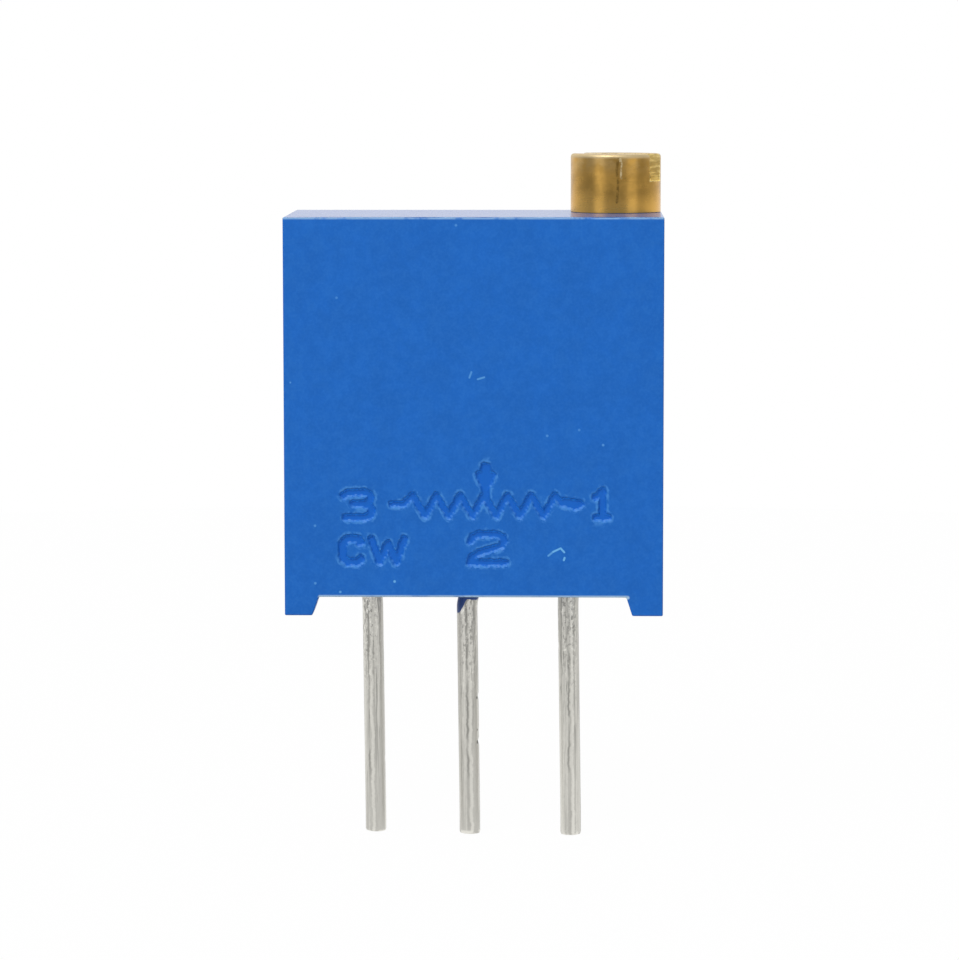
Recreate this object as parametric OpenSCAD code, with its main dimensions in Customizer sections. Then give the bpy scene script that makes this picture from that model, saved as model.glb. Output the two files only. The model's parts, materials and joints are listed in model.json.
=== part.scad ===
// Multi-turn trimmer potentiometer, adjusted from the top, with three wire terminals in line.
// Millimetres. The origin is on the middle terminal's axis at the circuit board's surface.
// +Z points from the board to the adjusting screw's head, and the marked face looks to -Y.

/* [Body] */

// Width of the body over its two side faces
body_w = 9.53; // [8:0.01:13]
// Depth of the body, marked face to back face
body_d = 4.83; // [4:0.01:6.5]
// Height of the body from the board to its top face
body_h = 10.03; // [8:0.01:14]
// Height of the four feet that keep the body off the board
foot_h = 0.47; // [0.2:0.01:1]
// Width of a foot where it meets the body
foot_root_w = 0.89; // [0.7:0.01:1.4]
// Width of a foot where it stands on the board
foot_tip_w = 0.74; // [0.5:0.01:1.3]
// Length of a foot from the marked face or the back face inwards
foot_l = 0.95; // [0.9:0.01:1.8]
// Height of the corner posts that carry the feet
post_h = 2.2; // [1:0.1:3]
// Thickness of the wall behind the marked face
front_wall = 0.80; // [0.5:0.01:1.2]
// Thickness of the back wall
back_wall = 0.515; // [0.4:0.005:0.9]
// Thickness of the two side walls
side_wall = 0.665; // [0.5:0.005:0.9]
// Thickness of the top wall
top_wall = 0.98; // [0.8:0.01:1.5]
// Width of the two front guides that the ceramic plate leans against
front_guide_w = 0.5; // [0.2:0.05:1]
// Width of the two rear guides that keep the ceramic plate from falling back
rear_guide_w = 0.3; // [0.2:0.05:0.5]
// Thickness of the two rear guides
rear_guide_t = 0.34; // [0.2:0.02:0.6]
// Depth of the seal's surface inside the body's lower rim
seal_recess = 0.12; // [0:0.01:0.4]
// Height of the seal's upper surface above the board
seal_top = 1.75; // [1.4:0.01:2.2]

/* [Adjusting screw] */

// Diameter of the screw head
head_d = 2.32; // [1.8:0.01:3]
// Height of the screw head above the body's top face
head_h = 1.50; // [0.8:0.01:2.5]
// Chamfer round the rim of the screw head
head_chamfer = 0.08; // [0.02:0.01:0.3]
// Distance from the screw's axis to the right side face
screw_from_side = 1.18; // [1.15:0.005:1.8]
// Distance from the screw's axis to the back face
screw_from_back = 1.265; // [1.2:0.005:1.6]
// Width of the screwdriver slot
slot_w = 0.6; // [0.4:0.01:0.9]
// Depth of the screwdriver slot
slot_depth = 0.7; // [0.4:0.01:1]
// Direction of the slot, in degrees from +X, with the part as stored
slot_angle = -27; // [-90:1:90]
// Radius of the lower journal
journal_r = 0.44; // [0.3:0.01:0.5]
// Length of the lower journal inside its bearing
journal_l = 0.8; // [0.4:0.05:1]
// Radius of the bearing's boss
boss_r = 0.75; // [0.65:0.01:0.9]
// Height of the bearing's boss above the seal
boss_h = 1.45; // [1:0.05:2]
// Pitch radius of the worm thread
worm_r = 0.70; // [0.55:0.01:0.85]
// Steps in one turn of the worm thread
worm_steps = 24; // [16:1:36]
// Thickness of the retainer, a U-shaped clip under the top wall
clip_t = 0.27; // [0.15:0.01:0.4]
// Radius of the groove that the retainer sits in
clip_groove_r = 0.47; // [0.3:0.01:0.55]
// Thickness of the collar below the retainer
collar_t = 0.30; // [0.2:0.01:0.4]
// Radius of the seal ring's section
seal_ring_r = 0.19; // [0.12:0.01:0.2]

/* [Worm wheel] */

// Number of teeth, and of screw turns that the wheel needs for one turn of its own
teeth = 36; // [24:1:48]
// Pressure angle of the teeth, in degrees
pressure_angle = 20; // [16:0.5:25]
// Width of the toothed rim along the wheel's axis
rim_w = 1.0; // [0.6:0.01:1.2]
// Thickness of the toothed rim, inside the teeth
rim_t = 0.5; // [0.4:0.01:0.8]
// Thickness of the web between rim and hub
web_t = 0.65; // [0.4:0.01:0.8]
// Radius of the pivot that turns in the ceramic plate
pivot_r = 0.46; // [0.3:0.01:0.55]
// Half of the angle that the wheel turns, in degrees
half_travel = 125; // [90:1:130]
// Thickness of the stop lug, from the wheel's pitch circle inwards
lug_w = 0.28; // [0.15:0.01:0.4]
// Width of the stop that hangs from the top wall
stop_w = 0.5; // [0.3:0.01:0.8]
// Radius of the two pegs that hold the contact
peg_r = 0.13; // [0.1:0.01:0.16]

/* [Wiper contact] */

// Thickness of the contact's sheet metal
sheet_t = 0.06; // [0.04:0.005:0.1]
// Sheet metal left outside the slit for the collector's fingers
contact_rim = 0.25; // [0.15:0.01:0.4]
// Reach of the resistive track's fingers beyond the contact's round part
finger_reach = 0.88; // [0.7:0.01:1.1]
// Number of fingers on the resistive track
track_fingers = 4; // [2:1:5]
// Width of one of these fingers
track_finger_w = 0.11; // [0.08:0.01:0.12]
// Width of one of the two fingers on the collector ring
ring_finger_w = 0.15; // [0.1:0.01:0.17]

/* [Element and terminals] */

// Distance between neighbouring terminals
terminal_pitch = 2.54; // [2:0.01:3]
// Distance from the middle terminal to the middle of the body's width
row_offset = 0.15; // [-0.3:0.01:0.3]
// Diameter of the terminal wires
terminal_d = 0.54; // [0.4:0.01:0.65]
// Length of the terminals below the board's surface
terminal_l = 6.06; // [3:0.01:8]
// Chamfer at the terminals' ends
terminal_chamfer = 0.07; // [0.02:0.01:0.12]
// Length of the flattened end of a terminal on its pad
tab_l = 1.4; // [0.8:0.05:1.6]
// Thickness of the ceramic plate
ceramic_t = 0.635; // [0.5:0.005:0.75]
// Thickness of the printed films
film_t = 0.02; // [0.01:0.005:0.05]
// Width of the resistive track
track_w = 0.70; // [0.4:0.01:0.9]
// Distance from the pivot's hole to the collector ring
ring_inset = 0.20; // [0.1:0.01:0.4]
// Width of the collector ring
ring_w = 0.50; // [0.4:0.01:0.6]
// Width of the pads that the terminals are soldered to
pad_w = 0.9; // [0.7:0.01:1.1]
// How far a pad reaches above the seal
pad_up = 0.55; // [0.4:0.05:0.7]
// Thickness of the solder beside a terminal
solder_t = 0.13; // [0.08:0.01:0.2]

/* [Clearances] */

// Between the top face and the underside of the screw head
head_gap = 0.02; // [0.01:0.01:0.1]
// Between the worm thread and the bore that it is put in through, all round
thread_gap = 0.055; // [0.03:0.005:0.1]
// Between the worm thread's lower end and its bearing
worm_end_gap = 0.08; // [0.05:0.01:0.5]
// Between the neck and its bore, all round
bore_gap = 0.05; // [0.03:0.01:0.08]
// Between the lower journal and its bearing, all round
journal_gap = 0.04; // [0.02:0.01:0.08]
// Between the retainer and its groove, on every side
clip_gap = 0.03; // [0.02:0.01:0.06]
// Between the retainer's legs and the back wall
clip_wall_gap = 0.03; // [0.02:0.01:0.1]
// Between the seal ring and the bottom of its groove
seal_gap = 0.03; // [0.02:0.005:0.05]
// Play between a tooth and the thread at the pitch line, both sides together
tooth_play = 0.09; // [0.08:0.01:0.14]
// Between the worm wheel's teeth and the side wall
wheel_side_gap = 0.425; // [0.2:0.005:1]
// Between the worm wheel's teeth and the seal or the top wall
wheel_end_gap = 0.325; // [0.1:0.005:1]
// Between the pivot and the ceramic plate, all round
pivot_gap = 0.04; // [0.02:0.01:0.08]
// Between the hub and the back wall's pad
hub_gap = 0.03; // [0.02:0.01:0.1]
// Between the contact's fingers and the films
touch_gap = 0.015; // [0.01:0.005:0.03]
// Between the stop lug and the stop at the end of travel, in degrees
stop_gap = 1; // [0.5:0.5:3]
// Between a terminal and the ceramic plate
pin_gap = 0.025; // [0.02:0.005:0.05]

/* [Hidden] */

$fn = 64;

pi = 3.14159265358979;
body_x = row_offset;
hw = body_w / 2;
hd = body_d / 2;
in_x = hw - side_wall;
in_front = -hd + front_wall;
in_back = hd - back_wall;
in_top = body_h - top_wall;
screw_x = body_x + hw - screw_from_side;
screw_y = hd - screw_from_back;
pin_r = terminal_d / 2;
tab_w = 1.2 * terminal_d;
tab_t = 0.65 * terminal_d;
tab_z = foot_h + 0.17;
tab_top = tab_z + tab_l;
solder_y = -pin_r + tab_t / 2;
solder_r = tab_w / 2 + solder_t;
solder_z = tab_z + 0.4;

// radii from the pivot outwards: hole, collector ring, contact, hub, resistive track
hole_r = pivot_r + pivot_gap;
ring_r = hole_r + ring_inset + ring_w / 2;
ring_finger_pitch = ring_finger_w + 0.05;
slit_w = 2 * ring_finger_pitch + 0.04;
contact_r = ring_r + slit_w / 2 + contact_rim;
hub_r = contact_r + 0.08;
peg_x = contact_r - 0.37;
track_r = contact_r + finger_reach;

// the worm wheel fills the room between the screw and the far side wall, or between seal and top wall
room_x = screw_x - worm_r - (body_x - in_x) - wheel_side_gap;
room_z = (in_top - seal_top) / 2 - wheel_end_gap;
wheel_r = min(room_x / (2 + 2 / teeth), room_z / (1 + 2 / teeth));
mod = 2 * wheel_r / teeth;
wheel_x = screw_x - worm_r - wheel_r;
wheel_z = (seal_top + in_top) / 2;
thread_pitch = pi * mod;
lead_angle = atan(mod / (2 * worm_r));
addendum = mod;
dedendum = 1.2 * mod;
tip_r = wheel_r + addendum;
root_r = wheel_r - dedendum;
base_r = wheel_r * cos(pressure_angle);
tooth_half = (thread_pitch / 2 - tooth_play / 2 - 0.005) / 2;
thread_half = (thread_pitch / 2 - tooth_play / 2 + 0.005) / 2;
core_r = worm_r - dedendum;
thread_r = worm_r + addendum;

// radii and heights along the screw
bore_r = thread_r + thread_gap;
neck_r = bore_r - bore_gap;
collar_r = neck_r - 0.05;
head_z = body_h + head_gap;
screw_top = body_h + head_h;
boss_top = seal_top + boss_h;
journal_z = boss_top - journal_l;
thread_n = floor(2 * (wheel_z - boss_top - worm_end_gap - thread_at(core_r)) / thread_pitch * worm_steps);
clip_z = in_top - clip_t;
clip_w = 2 * (in_back - clip_wall_gap - screw_y);
ring_groove_h = 2 * seal_ring_r + 0.12;
ring_z = in_top + 0.51 * top_wall;

// depths through the works, from the marked face to the back
ceramic_y = -(pin_r + pin_gap);
ceramic_front = ceramic_y - ceramic_t;
film_y = ceramic_y + film_t;
touch_y = film_y + touch_gap;
rim_y0 = screw_y - rim_w / 2;
rim_y1 = screw_y + rim_w / 2;
web_y0 = rim_y0 + 0.2;
web_y1 = web_y0 + web_t;
hub_y0 = rim_y0 - 0.2;
pad_y = in_back - 0.03;
hub_y1 = pad_y - hub_gap;
contact_y = hub_y0 - sheet_t;
drop = contact_y - touch_y;
lug_y0 = rim_y0 - 0.30;
stop_y1 = rim_y0 - 0.06;
lug_r1 = wheel_r - 0.15;
lug_r0 = lug_r1 - lug_w;
// half of the stop lug's arc, so that it stops just short of the stop at each end of the travel
lug_half = 180 - half_travel - stop_gap - asin(stop_w / 2 / lug_r0);

// the ceramic plate and what is printed on it
ceramic_x = in_x - 0.15;
ceramic_z0 = tab_z;
ceramic_z1 = in_top - 0.15;
track_half = half_travel + 2.5;
pad_z0 = ceramic_z0 + 0.3;
pad_z1 = seal_top + pad_up;
finger_pitch = track_finger_w + 0.03;

function inv(a) = tan(a) * 180 / pi - a;
function tooth_angle(r) = tooth_half / wheel_r * 180 / pi + inv(pressure_angle)
  - (r <= base_r ? 0 : inv(acos(base_r / r)));
function thread_at(r) = thread_half + (worm_r - r) * tan(pressure_angle);

// a plate between two depths, from a shape drawn in (x, z)
module wall(y0, y1) translate([0, y1, 0]) rotate([90, 0, 0]) linear_extrude(y1 - y0) children();
// the same, drawn about the worm wheel's axis
module disc(y0, y1) translate([wheel_x, 0, wheel_z]) wall(y0, y1) children();
module film() wall(ceramic_y, film_y) children();
module box(x0, x1, y0, y1, z0, z1) translate([x0, y0, z0]) cube([x1 - x0, y1 - y0, z1 - z0]);
module both_sides() for (s = [0, 1]) translate([body_x, 0, 0]) mirror([s, 0, 0]) children();
// a wedge of a circle, opened by half each way from the direction -Y of the drawing
module wedge(half) polygon([[0, 0], for (a = [-1, -0.5, 0, 0.5, 1]) 8 * [sin(a * half), -cos(a * half)]]);
module ring(r, w) difference() {
  circle(r = r + w / 2);
  circle(r = r - w / 2);
}

// the right-hand front foot, with the body's middle at x = 0
module foot() wall(-hd, -hd + foot_l) polygon([[hw, foot_h + 0.2], [hw, 0], [hw - foot_tip_w, 0],
  [hw - foot_root_w, foot_h], [hw - foot_root_w, foot_h + 0.2]]);

// the corner post above each foot, which narrows the room for the seal
module post(z1) {
  box(hw - foot_root_w, in_x + 0.1, in_front - 0.1, -hd + foot_l, foot_h, z1);
  box(hw - foot_root_w, in_x + 0.1, hd - foot_l, in_back + 0.1, foot_h, z1);
}

module front_guide(z1)
  box(in_x - 0.4 - front_guide_w, in_x - 0.4, in_front - 0.1, ceramic_front, ceramic_z0 + 0.3, z1);

// raised pad on the back wall that the worm wheel's hub runs against
module hub_pad(z1) box(wheel_x - 0.9, wheel_x + 0.9, pad_y, in_back + 0.1, foot_h + 0.6, z1);

// lower bearing of the screw, in the corner behind terminal 1
module bearing(z1) {
  z0 = foot_h + 0.3;
  translate([screw_x, screw_y, z0]) cylinder(r = boss_r, h = z1 - z0);
  box(screw_x, body_x + in_x + 0.1, screw_y - boss_r, screw_y + boss_r, z0, z1);
  box(screw_x - boss_r, body_x + in_x + 0.1, screw_y, in_back + 0.1, z0, z1);
}

module housing() {
  color("royalblue") difference() {
    union() {
      difference() {
        box(body_x - hw, body_x + hw, -hd, hd, foot_h, body_h);
        box(body_x - in_x, body_x + in_x, in_front, in_back, foot_h - 1, in_top);
      }
      both_sides() {
        foot();
        mirror([0, 1, 0]) foot();
        post(foot_h + post_h);
        front_guide(in_top + 0.1);
        // the rear guides start above the pads and end below the retainer
        box(in_x - rear_guide_w, in_x + 0.1, ceramic_y, ceramic_y + rear_guide_t,
          pad_z1 + 0.1, clip_z - 0.1);
      }
      box(wheel_x - stop_w / 2, wheel_x + stop_w / 2, lug_y0 - 0.05, stop_y1,
        wheel_z + lug_r0 - 0.02, in_top + 0.1);
      hub_pad(wheel_z + 0.9);
      bearing(boss_top);
    }
    translate([screw_x, screw_y, boss_top]) cylinder(r = bore_r, h = body_h);
    translate([screw_x, screw_y, journal_z - journal_gap]) cylinder(r = journal_r + journal_gap, h = 2);
  }
}

// right-hand thread, with its middle turn facing the wheel's axis
module worm_thread() {
  n = thread_n;
  r0 = core_r - 0.07;
  pts = [for (i = [0 : n]) let (
      t = (i - n / 2) / worm_steps,
      a = 180 + 360 * t,
      z = wheel_z + thread_pitch * t,
      g = min(1, (i + 1) / (worm_steps / 2), (n - i + 1) / (worm_steps / 2)),
      r1 = core_r - 0.02 + (thread_r - core_r + 0.02) * g)
    each [for (q = [[r0, -thread_at(r0)], [r1, -thread_at(r1)], [r1, thread_at(r1)], [r0, thread_at(r0)]])
      [q[0] * cos(a), q[0] * sin(a), z + q[1]]]];
  sides = [for (i = [0 : n - 1]) for (k = [0 : 3]) let (
      a = 4 * i + k, b = 4 * i + (k + 1) % 4, c = b + 4, d = a + 4)
    each [[a, b, c], [a, c, d]]];
  ends = [[3, 2, 1], [3, 1, 0], [4 * n, 4 * n + 1, 4 * n + 2], [4 * n, 4 * n + 2, 4 * n + 3]];
  polyhedron(points = pts, faces = concat(sides, ends));
}

module adjusting_screw() {
  color("goldenrod") translate([screw_x, screw_y, 0]) difference() {
    union() {
      rotate_extrude() polygon([[0, journal_z], [journal_r - 0.08, journal_z], [journal_r, journal_z + 0.08],
        [journal_r, boss_top + 0.05], [core_r, boss_top + 0.05], [core_r, clip_z - clip_gap - collar_t],
        [collar_r, clip_z - clip_gap - collar_t], [collar_r, clip_z - clip_gap],
        [clip_groove_r, clip_z - clip_gap], [clip_groove_r, in_top + clip_gap],
        [neck_r, in_top + clip_gap], [neck_r, ring_z - ring_groove_h / 2],
        [bore_r - 2 * seal_ring_r - seal_gap, ring_z - ring_groove_h / 2],
        [bore_r - 2 * seal_ring_r - seal_gap, ring_z + ring_groove_h / 2],
        [neck_r, ring_z + ring_groove_h / 2], [neck_r, head_z], [head_d / 2, head_z],
        [head_d / 2, screw_top - head_chamfer], [head_d / 2 - head_chamfer, screw_top], [0, screw_top]]);
      worm_thread();
    }
    rotate([0, 0, slot_angle]) translate([-head_d, -slot_w / 2, screw_top - slot_depth])
      cube([2 * head_d, slot_w, slot_depth + 1]);
  }
}

module screw_seal_ring() {
  color("dimgray") translate([screw_x, screw_y, ring_z])
    rotate_extrude() translate([bore_r - seal_ring_r - 0.005, 0]) circle(r = seal_ring_r);
}

module screw_retainer() {
  slit = clip_groove_r + clip_gap;
  color("silver") difference() {
    box(screw_x - 1.2, screw_x + 0.45, screw_y - clip_w / 2, screw_y + clip_w / 2, clip_z, in_top);
    translate([screw_x, screw_y, clip_z - 1]) cylinder(r = slit, h = 2);
    box(screw_x, screw_x + 1, screw_y - slit, screw_y + slit, clip_z - 1, in_top + 1);
  }
}

// one involute tooth that lies along the thread, drawn about the wheel's middle
module tooth() {
  rs = [root_r - 0.4 * rim_t, base_r, base_r + 0.25 * (tip_r - base_r), wheel_r,
    0.5 * (wheel_r + tip_r), tip_r + 0.01];
  up = [for (r = rs) [r * cos(tooth_angle(r)), r * sin(tooth_angle(r))]];
  down = [for (i = [len(rs) - 1 : -1 : 0]) [up[i][0], -up[i][1]]];
  rotate([-lead_angle, 0, 0]) rotate([90, 0, 0])
    linear_extrude(rim_w + 0.3, center = true) polygon(concat(up, down));
}

module rotor() {
  color("ivory") difference() {
    union() {
      intersection() {
        union() {
          disc(rim_y0, rim_y1) circle(r = root_r);
          translate([wheel_x, screw_y, wheel_z]) for (k = [0 : teeth - 1])
            rotate([0, (k + 0.5) * 360 / teeth, 0]) tooth();
        }
        disc(rim_y0, rim_y1) circle(r = tip_r);
      }
      disc(hub_y0, hub_y1) circle(r = hub_r);
      disc(ceramic_front + 0.06, hub_y0 + 0.1) circle(r = pivot_r);
      // stop lug, an arc opposite the wiper
      disc(lug_y0, rim_y0 + 0.1) intersection() {
        ring((lug_r0 + lug_r1) / 2, lug_w);
        wedge(lug_half);
      }
      // pegs spread over the contact
      for (s = [-1, 1]) translate([s * peg_x, 0, 0.25]) {
        disc(contact_y - 0.02, hub_y0 + 0.1) circle(r = peg_r);
        disc(contact_y - 0.07, contact_y) circle(r = peg_r + 0.08);
      }
    }
    // the web is thinner than the rim
    for (y = [[rim_y0 - 0.5, web_y0], [web_y1, rim_y1 + 0.5]]) disc(y[0], y[1]) difference() {
      circle(r = root_r - rim_t);
      circle(r = hub_r);
    }
  }
}

// a spring finger: a bent strip drawn in (u, y) from its root outwards, as wide as w
module strip(pts, w) linear_extrude(w, center = true)
  polygon(concat(pts, [for (i = [len(pts) - 1 : -1 : 0]) pts[i] + [0, sheet_t]]));

module wiper_contact() {
  arm = finger_pitch * track_fingers;
  color("gold") {
    difference() {
      disc(contact_y, hub_y0) union() {
        circle(r = contact_r);
        translate([-arm / 2, 0]) square([arm, contact_r + 0.33]);
      }
      disc(contact_y - 0.1, hub_y0 + 0.1) circle(r = hole_r + 0.02);
      disc(contact_y - 0.1, hub_y0 + 0.1) translate([-0.62, -ring_r - slit_w / 2]) square([1.12, slit_w]);
      for (s = [-1, 1]) translate([s * peg_x, 0, 0.25])
        disc(contact_y - 0.1, hub_y0 + 0.1) circle(r = peg_r + 0.01);
    }
    // fingers on the resistive track
    for (k = [0 : track_fingers - 1])
      translate([wheel_x + (k - (track_fingers - 1) / 2) * finger_pitch, 0, wheel_z]) rotate([0, -90, 0])
        strip([[contact_r + 0.18, contact_y], [contact_r + 0.32, contact_y], [track_r - 0.02, touch_y],
          [track_r + 0.10, touch_y], [track_r + 0.22, touch_y + 0.25 * drop]], track_finger_w);
    // two fingers on the collector ring
    for (k = [-0.5, 0.5]) translate([wheel_x, 0, wheel_z - (ring_r + k * ring_finger_pitch)])
      strip([[0.62, contact_y], [0.46, contact_y], [-0.13, touch_y], [-0.24, touch_y],
        [-0.36, touch_y + 0.22 * drop]], ring_finger_w);
  }
}

module ceramic_substrate() {
  color("white") difference() {
    box(body_x - ceramic_x, body_x + ceramic_x, ceramic_front, ceramic_y, ceramic_z0, ceramic_z1);
    disc(ceramic_front - 1, ceramic_y + 1) circle(r = hole_r);
  }
}

module track_shape() translate([wheel_x, wheel_z]) difference() {
  ring(track_r, track_w);
  wedge(180 - track_half);
}

module resistive_track() {
  color("black") film() track_shape();
}

module collector_track() {
  color("darkkhaki") difference() {
    union() {
      film() translate([wheel_x, wheel_z]) circle(r = ring_r + ring_w / 2);
      film() polygon([[wheel_x - 0.2, wheel_z - ring_r], [wheel_x + 0.2, wheel_z - ring_r],
        [pad_w / 2, pad_z1], [pad_w / 2, pad_z0], [-pad_w / 2, pad_z0], [-pad_w / 2, pad_z1]]);
    }
    wall(ceramic_y - 0.1, film_y + 0.1) translate([wheel_x, wheel_z]) circle(r = ring_r - ring_w / 2);
  }
}

// from one end of the resistive track down to the pad on the same side, s = 1 right and -1 left
module end_conductor(s) {
  a = 180 - track_half;
  ends = [for (p = [[-0.3, 5], [0.3, 5], [0.3, -4], [-0.3, -4]]) let (r = track_r + p[0], b = a + p[1])
    [wheel_x + s * r * sin(b), wheel_z - r * cos(b)]];
  x = s * terminal_pitch;
  p = s * pad_w / 2;
  film() difference() {
    polygon([ends[0], ends[1], ends[2], [x + p, pad_z1], [x + p, pad_z0], [x - p, pad_z0], [x - p, pad_z1],
      ends[3]]);
    track_shape();
  }
}

module end_conductor_1() {
  color("darkkhaki") end_conductor(1);
}

module end_conductor_3() {
  color("darkkhaki") end_conductor(-1);
}

// round wire, flattened where it lies on its pad
module terminal(x) {
  color("silver") translate([x, 0, 0]) {
    rotate_extrude() polygon([[0, -terminal_l], [pin_r - terminal_chamfer, -terminal_l],
      [pin_r, -terminal_l + 1.3 * terminal_chamfer], [pin_r, tab_z], [0, tab_z]]);
    box(-tab_w / 2, tab_w / 2, -pin_r, -pin_r + tab_t, tab_z, tab_top);
  }
}

module terminal_1() {
  terminal(terminal_pitch);
}

module terminal_2() {
  terminal(0);
}

module terminal_3() {
  terminal(-terminal_pitch);
}

module solder_joint(x) {
  h = tab_top - 0.15 - solder_z;
  color("lightgray") difference() {
    intersection() {
      translate([x, solder_y, solder_z]) union() {
        cylinder(r = solder_r, h = h);
        translate([0, 0, h]) sphere(r = solder_r);
      }
      box(x - 1, x + 1, film_y, 1, 0, pad_z1);
    }
    box(x - tab_w / 2, x + tab_w / 2, -1, -pin_r + tab_t, 0, tab_top);
  }
}

module solder_joint_1() {
  solder_joint(terminal_pitch);
}

module solder_joint_2() {
  solder_joint(0);
}

module solder_joint_3() {
  solder_joint(-terminal_pitch);
}

module epoxy_seal() {
  over = seal_top + 1;
  color("navy") difference() {
    box(body_x - in_x, body_x + in_x, in_front, in_back, foot_h + seal_recess, seal_top);
    // the plate with its films, and the terminals with their solder
    box(body_x - ceramic_x, body_x + ceramic_x, ceramic_front, film_y, ceramic_z0, over);
    for (i = [-1, 0, 1]) translate([i * terminal_pitch, 0, 0]) {
      translate([0, 0, -1]) cylinder(r = pin_r, h = tab_z + 1);
      box(-tab_w / 2, tab_w / 2, -pin_r, -pin_r + tab_t, tab_z, over);
      translate([0, solder_y, solder_z]) cylinder(r = solder_r, h = over);
    }
    // what the housing puts in the way
    both_sides() {
      post(over);
      front_guide(over);
    }
    hub_pad(over);
    bearing(over);
  }
}

housing();
adjusting_screw();
screw_seal_ring();
screw_retainer();
rotor();
wiper_contact();
ceramic_substrate();
resistive_track();
collector_track();
end_conductor_1();
end_conductor_3();
terminal_1();
terminal_2();
terminal_3();
solder_joint_1();
solder_joint_2();
solder_joint_3();
epoxy_seal();
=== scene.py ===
"""Looks of a trimmer potentiometer that is adjusted from the top.

Laid out as an add-on and run as a script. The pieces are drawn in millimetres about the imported
part's own corners and axes, and brought to metres when they are finished. The board plane is
Z 0, the marked face looks to -Y and the adjusting screw points up.
"""

import json
import math

import bmesh
import bpy
import numpy as np
from bpy.props import FloatProperty, FloatVectorProperty, IntProperty, PointerProperty
from bpy.types import Operator, Panel, PropertyGroup
from mathutils import Matrix, Vector, noise


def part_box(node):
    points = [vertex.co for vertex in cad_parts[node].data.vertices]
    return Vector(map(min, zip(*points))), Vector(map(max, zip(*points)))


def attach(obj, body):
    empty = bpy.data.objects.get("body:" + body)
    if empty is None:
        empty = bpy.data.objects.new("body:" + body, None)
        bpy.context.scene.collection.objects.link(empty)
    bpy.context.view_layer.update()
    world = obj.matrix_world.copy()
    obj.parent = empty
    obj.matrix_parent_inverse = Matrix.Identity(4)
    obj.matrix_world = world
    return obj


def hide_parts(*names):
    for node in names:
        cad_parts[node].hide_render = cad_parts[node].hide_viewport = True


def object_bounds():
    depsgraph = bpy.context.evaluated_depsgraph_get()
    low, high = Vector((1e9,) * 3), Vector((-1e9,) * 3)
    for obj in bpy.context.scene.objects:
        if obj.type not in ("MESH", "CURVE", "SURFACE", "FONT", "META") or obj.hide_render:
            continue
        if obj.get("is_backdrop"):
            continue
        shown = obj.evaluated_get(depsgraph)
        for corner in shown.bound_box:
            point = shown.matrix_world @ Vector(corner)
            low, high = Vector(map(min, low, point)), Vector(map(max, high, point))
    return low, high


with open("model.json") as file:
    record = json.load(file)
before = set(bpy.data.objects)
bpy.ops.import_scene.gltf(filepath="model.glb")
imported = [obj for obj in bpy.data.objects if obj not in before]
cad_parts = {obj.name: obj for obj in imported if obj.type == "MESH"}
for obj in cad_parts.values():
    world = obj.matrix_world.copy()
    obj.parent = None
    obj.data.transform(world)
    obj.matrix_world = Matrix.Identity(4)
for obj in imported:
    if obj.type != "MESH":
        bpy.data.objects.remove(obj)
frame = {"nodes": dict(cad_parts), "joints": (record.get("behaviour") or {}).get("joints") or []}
cad_low, cad_high = (list(corner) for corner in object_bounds())

bl_info = {
    "name": "Trimmer potentiometer",
    "version": (1, 0, 0),
    "blender": (4, 5, 0),
    "location": "3D View > Sidebar > Trimmer",
    "description": "Makes the pieces of a multi-turn trimmer, its finishes and a plain studio",
    "category": "Add Mesh",
}

MM = 1000.0

# what several pieces share, in millimetres and degrees
BEARING_ABOVE_SEAL = 1.45  # from the top of the potting to the end of the screw's lower bearing
PADS_ABOVE_SEAL = 0.55  # from the top of the potting to the upper end of the soldering pads
TRACK_RADII = (1.95, 2.65)
TRACK_END = 52.5  # where the track starts and stops, from straight down
PRESSURE_ANGLE = 20  # of the thread and of the wheel's teeth
PEGS = ((-1.05, 0.25), (1.05, 0.25))  # right of and above the wheel's axis
RIM = "marks_rim"  # point attribute of the housing: 1 on the rims of the marks


def corners(node):
    """Lowest and highest corner of a CAD node, in millimetres."""
    return [tuple(MM * c for c in corner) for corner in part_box(node)]


def wire_place(number):
    """The X of a terminal's axis and the radius of its wire, in millimetres. Its Y is 0."""
    (x0, y0, _), (x1, y1, _) = corners(f"terminal_{number}")
    return (x0 + x1) / 2, (y1 - y0) / 2


def joint_place(name):
    """A point on a joint's axis, in millimetres."""
    joint = next(j for j in frame["joints"] if j["name"] == name)
    return tuple(MM * c for c in joint["pos_m"])


# ---------------------------------------------------------------------------- sizes and colours


def length(name, text, mm, low=0.0, high=20.0):
    return FloatProperty(name=name, description=text, default=mm / MM, min=low / MM, max=high / MM,
                         unit="LENGTH", subtype="DISTANCE", precision=5)


def colour(name, text, value):
    return FloatVectorProperty(name=name, description=text, default=value, min=0, max=1, size=3,
                               subtype="COLOR")


class TrimmerHousing(PropertyGroup):
    edge_round: length("Edge rounding", "Radius of the moulded outer edges", 0.035, 0.01, 0.15)
    front_wall: length("Front wall", "Thickness of the wall behind the marked face", 0.80)
    back_wall: length("Back wall", "Thickness of the back wall", 0.515)
    side_wall: length("Side walls", "Thickness of the two side walls", 0.665)
    top_wall: length("Top wall", "Thickness of the top wall", 0.98)
    foot_height: length("Foot height", "Height of the feet", 0.47)
    foot_root: length("Foot width", "Width of a foot where it meets the body", 0.89)
    foot_tip: length("Foot tip", "Width of a foot where it stands", 0.74)
    foot_length: length("Foot length", "Length of a foot from the face inwards", 0.95)
    mark_depth: length("Mark depth", "Depth of the moulded marks", 0.062, 0.02, 0.2)
    mark_floor: length("Mark floor", "Half of the width of a mark's floor", 0.045, 0.02, 0.1)
    mark_slope: length("Mark slope", "Width of the slope beside a mark's floor", 0.06, 0.02, 0.1)
    plastic: colour("Plastic", "Colour of the moulded plastic", (0.0090, 0.1580, 0.6450))


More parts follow.
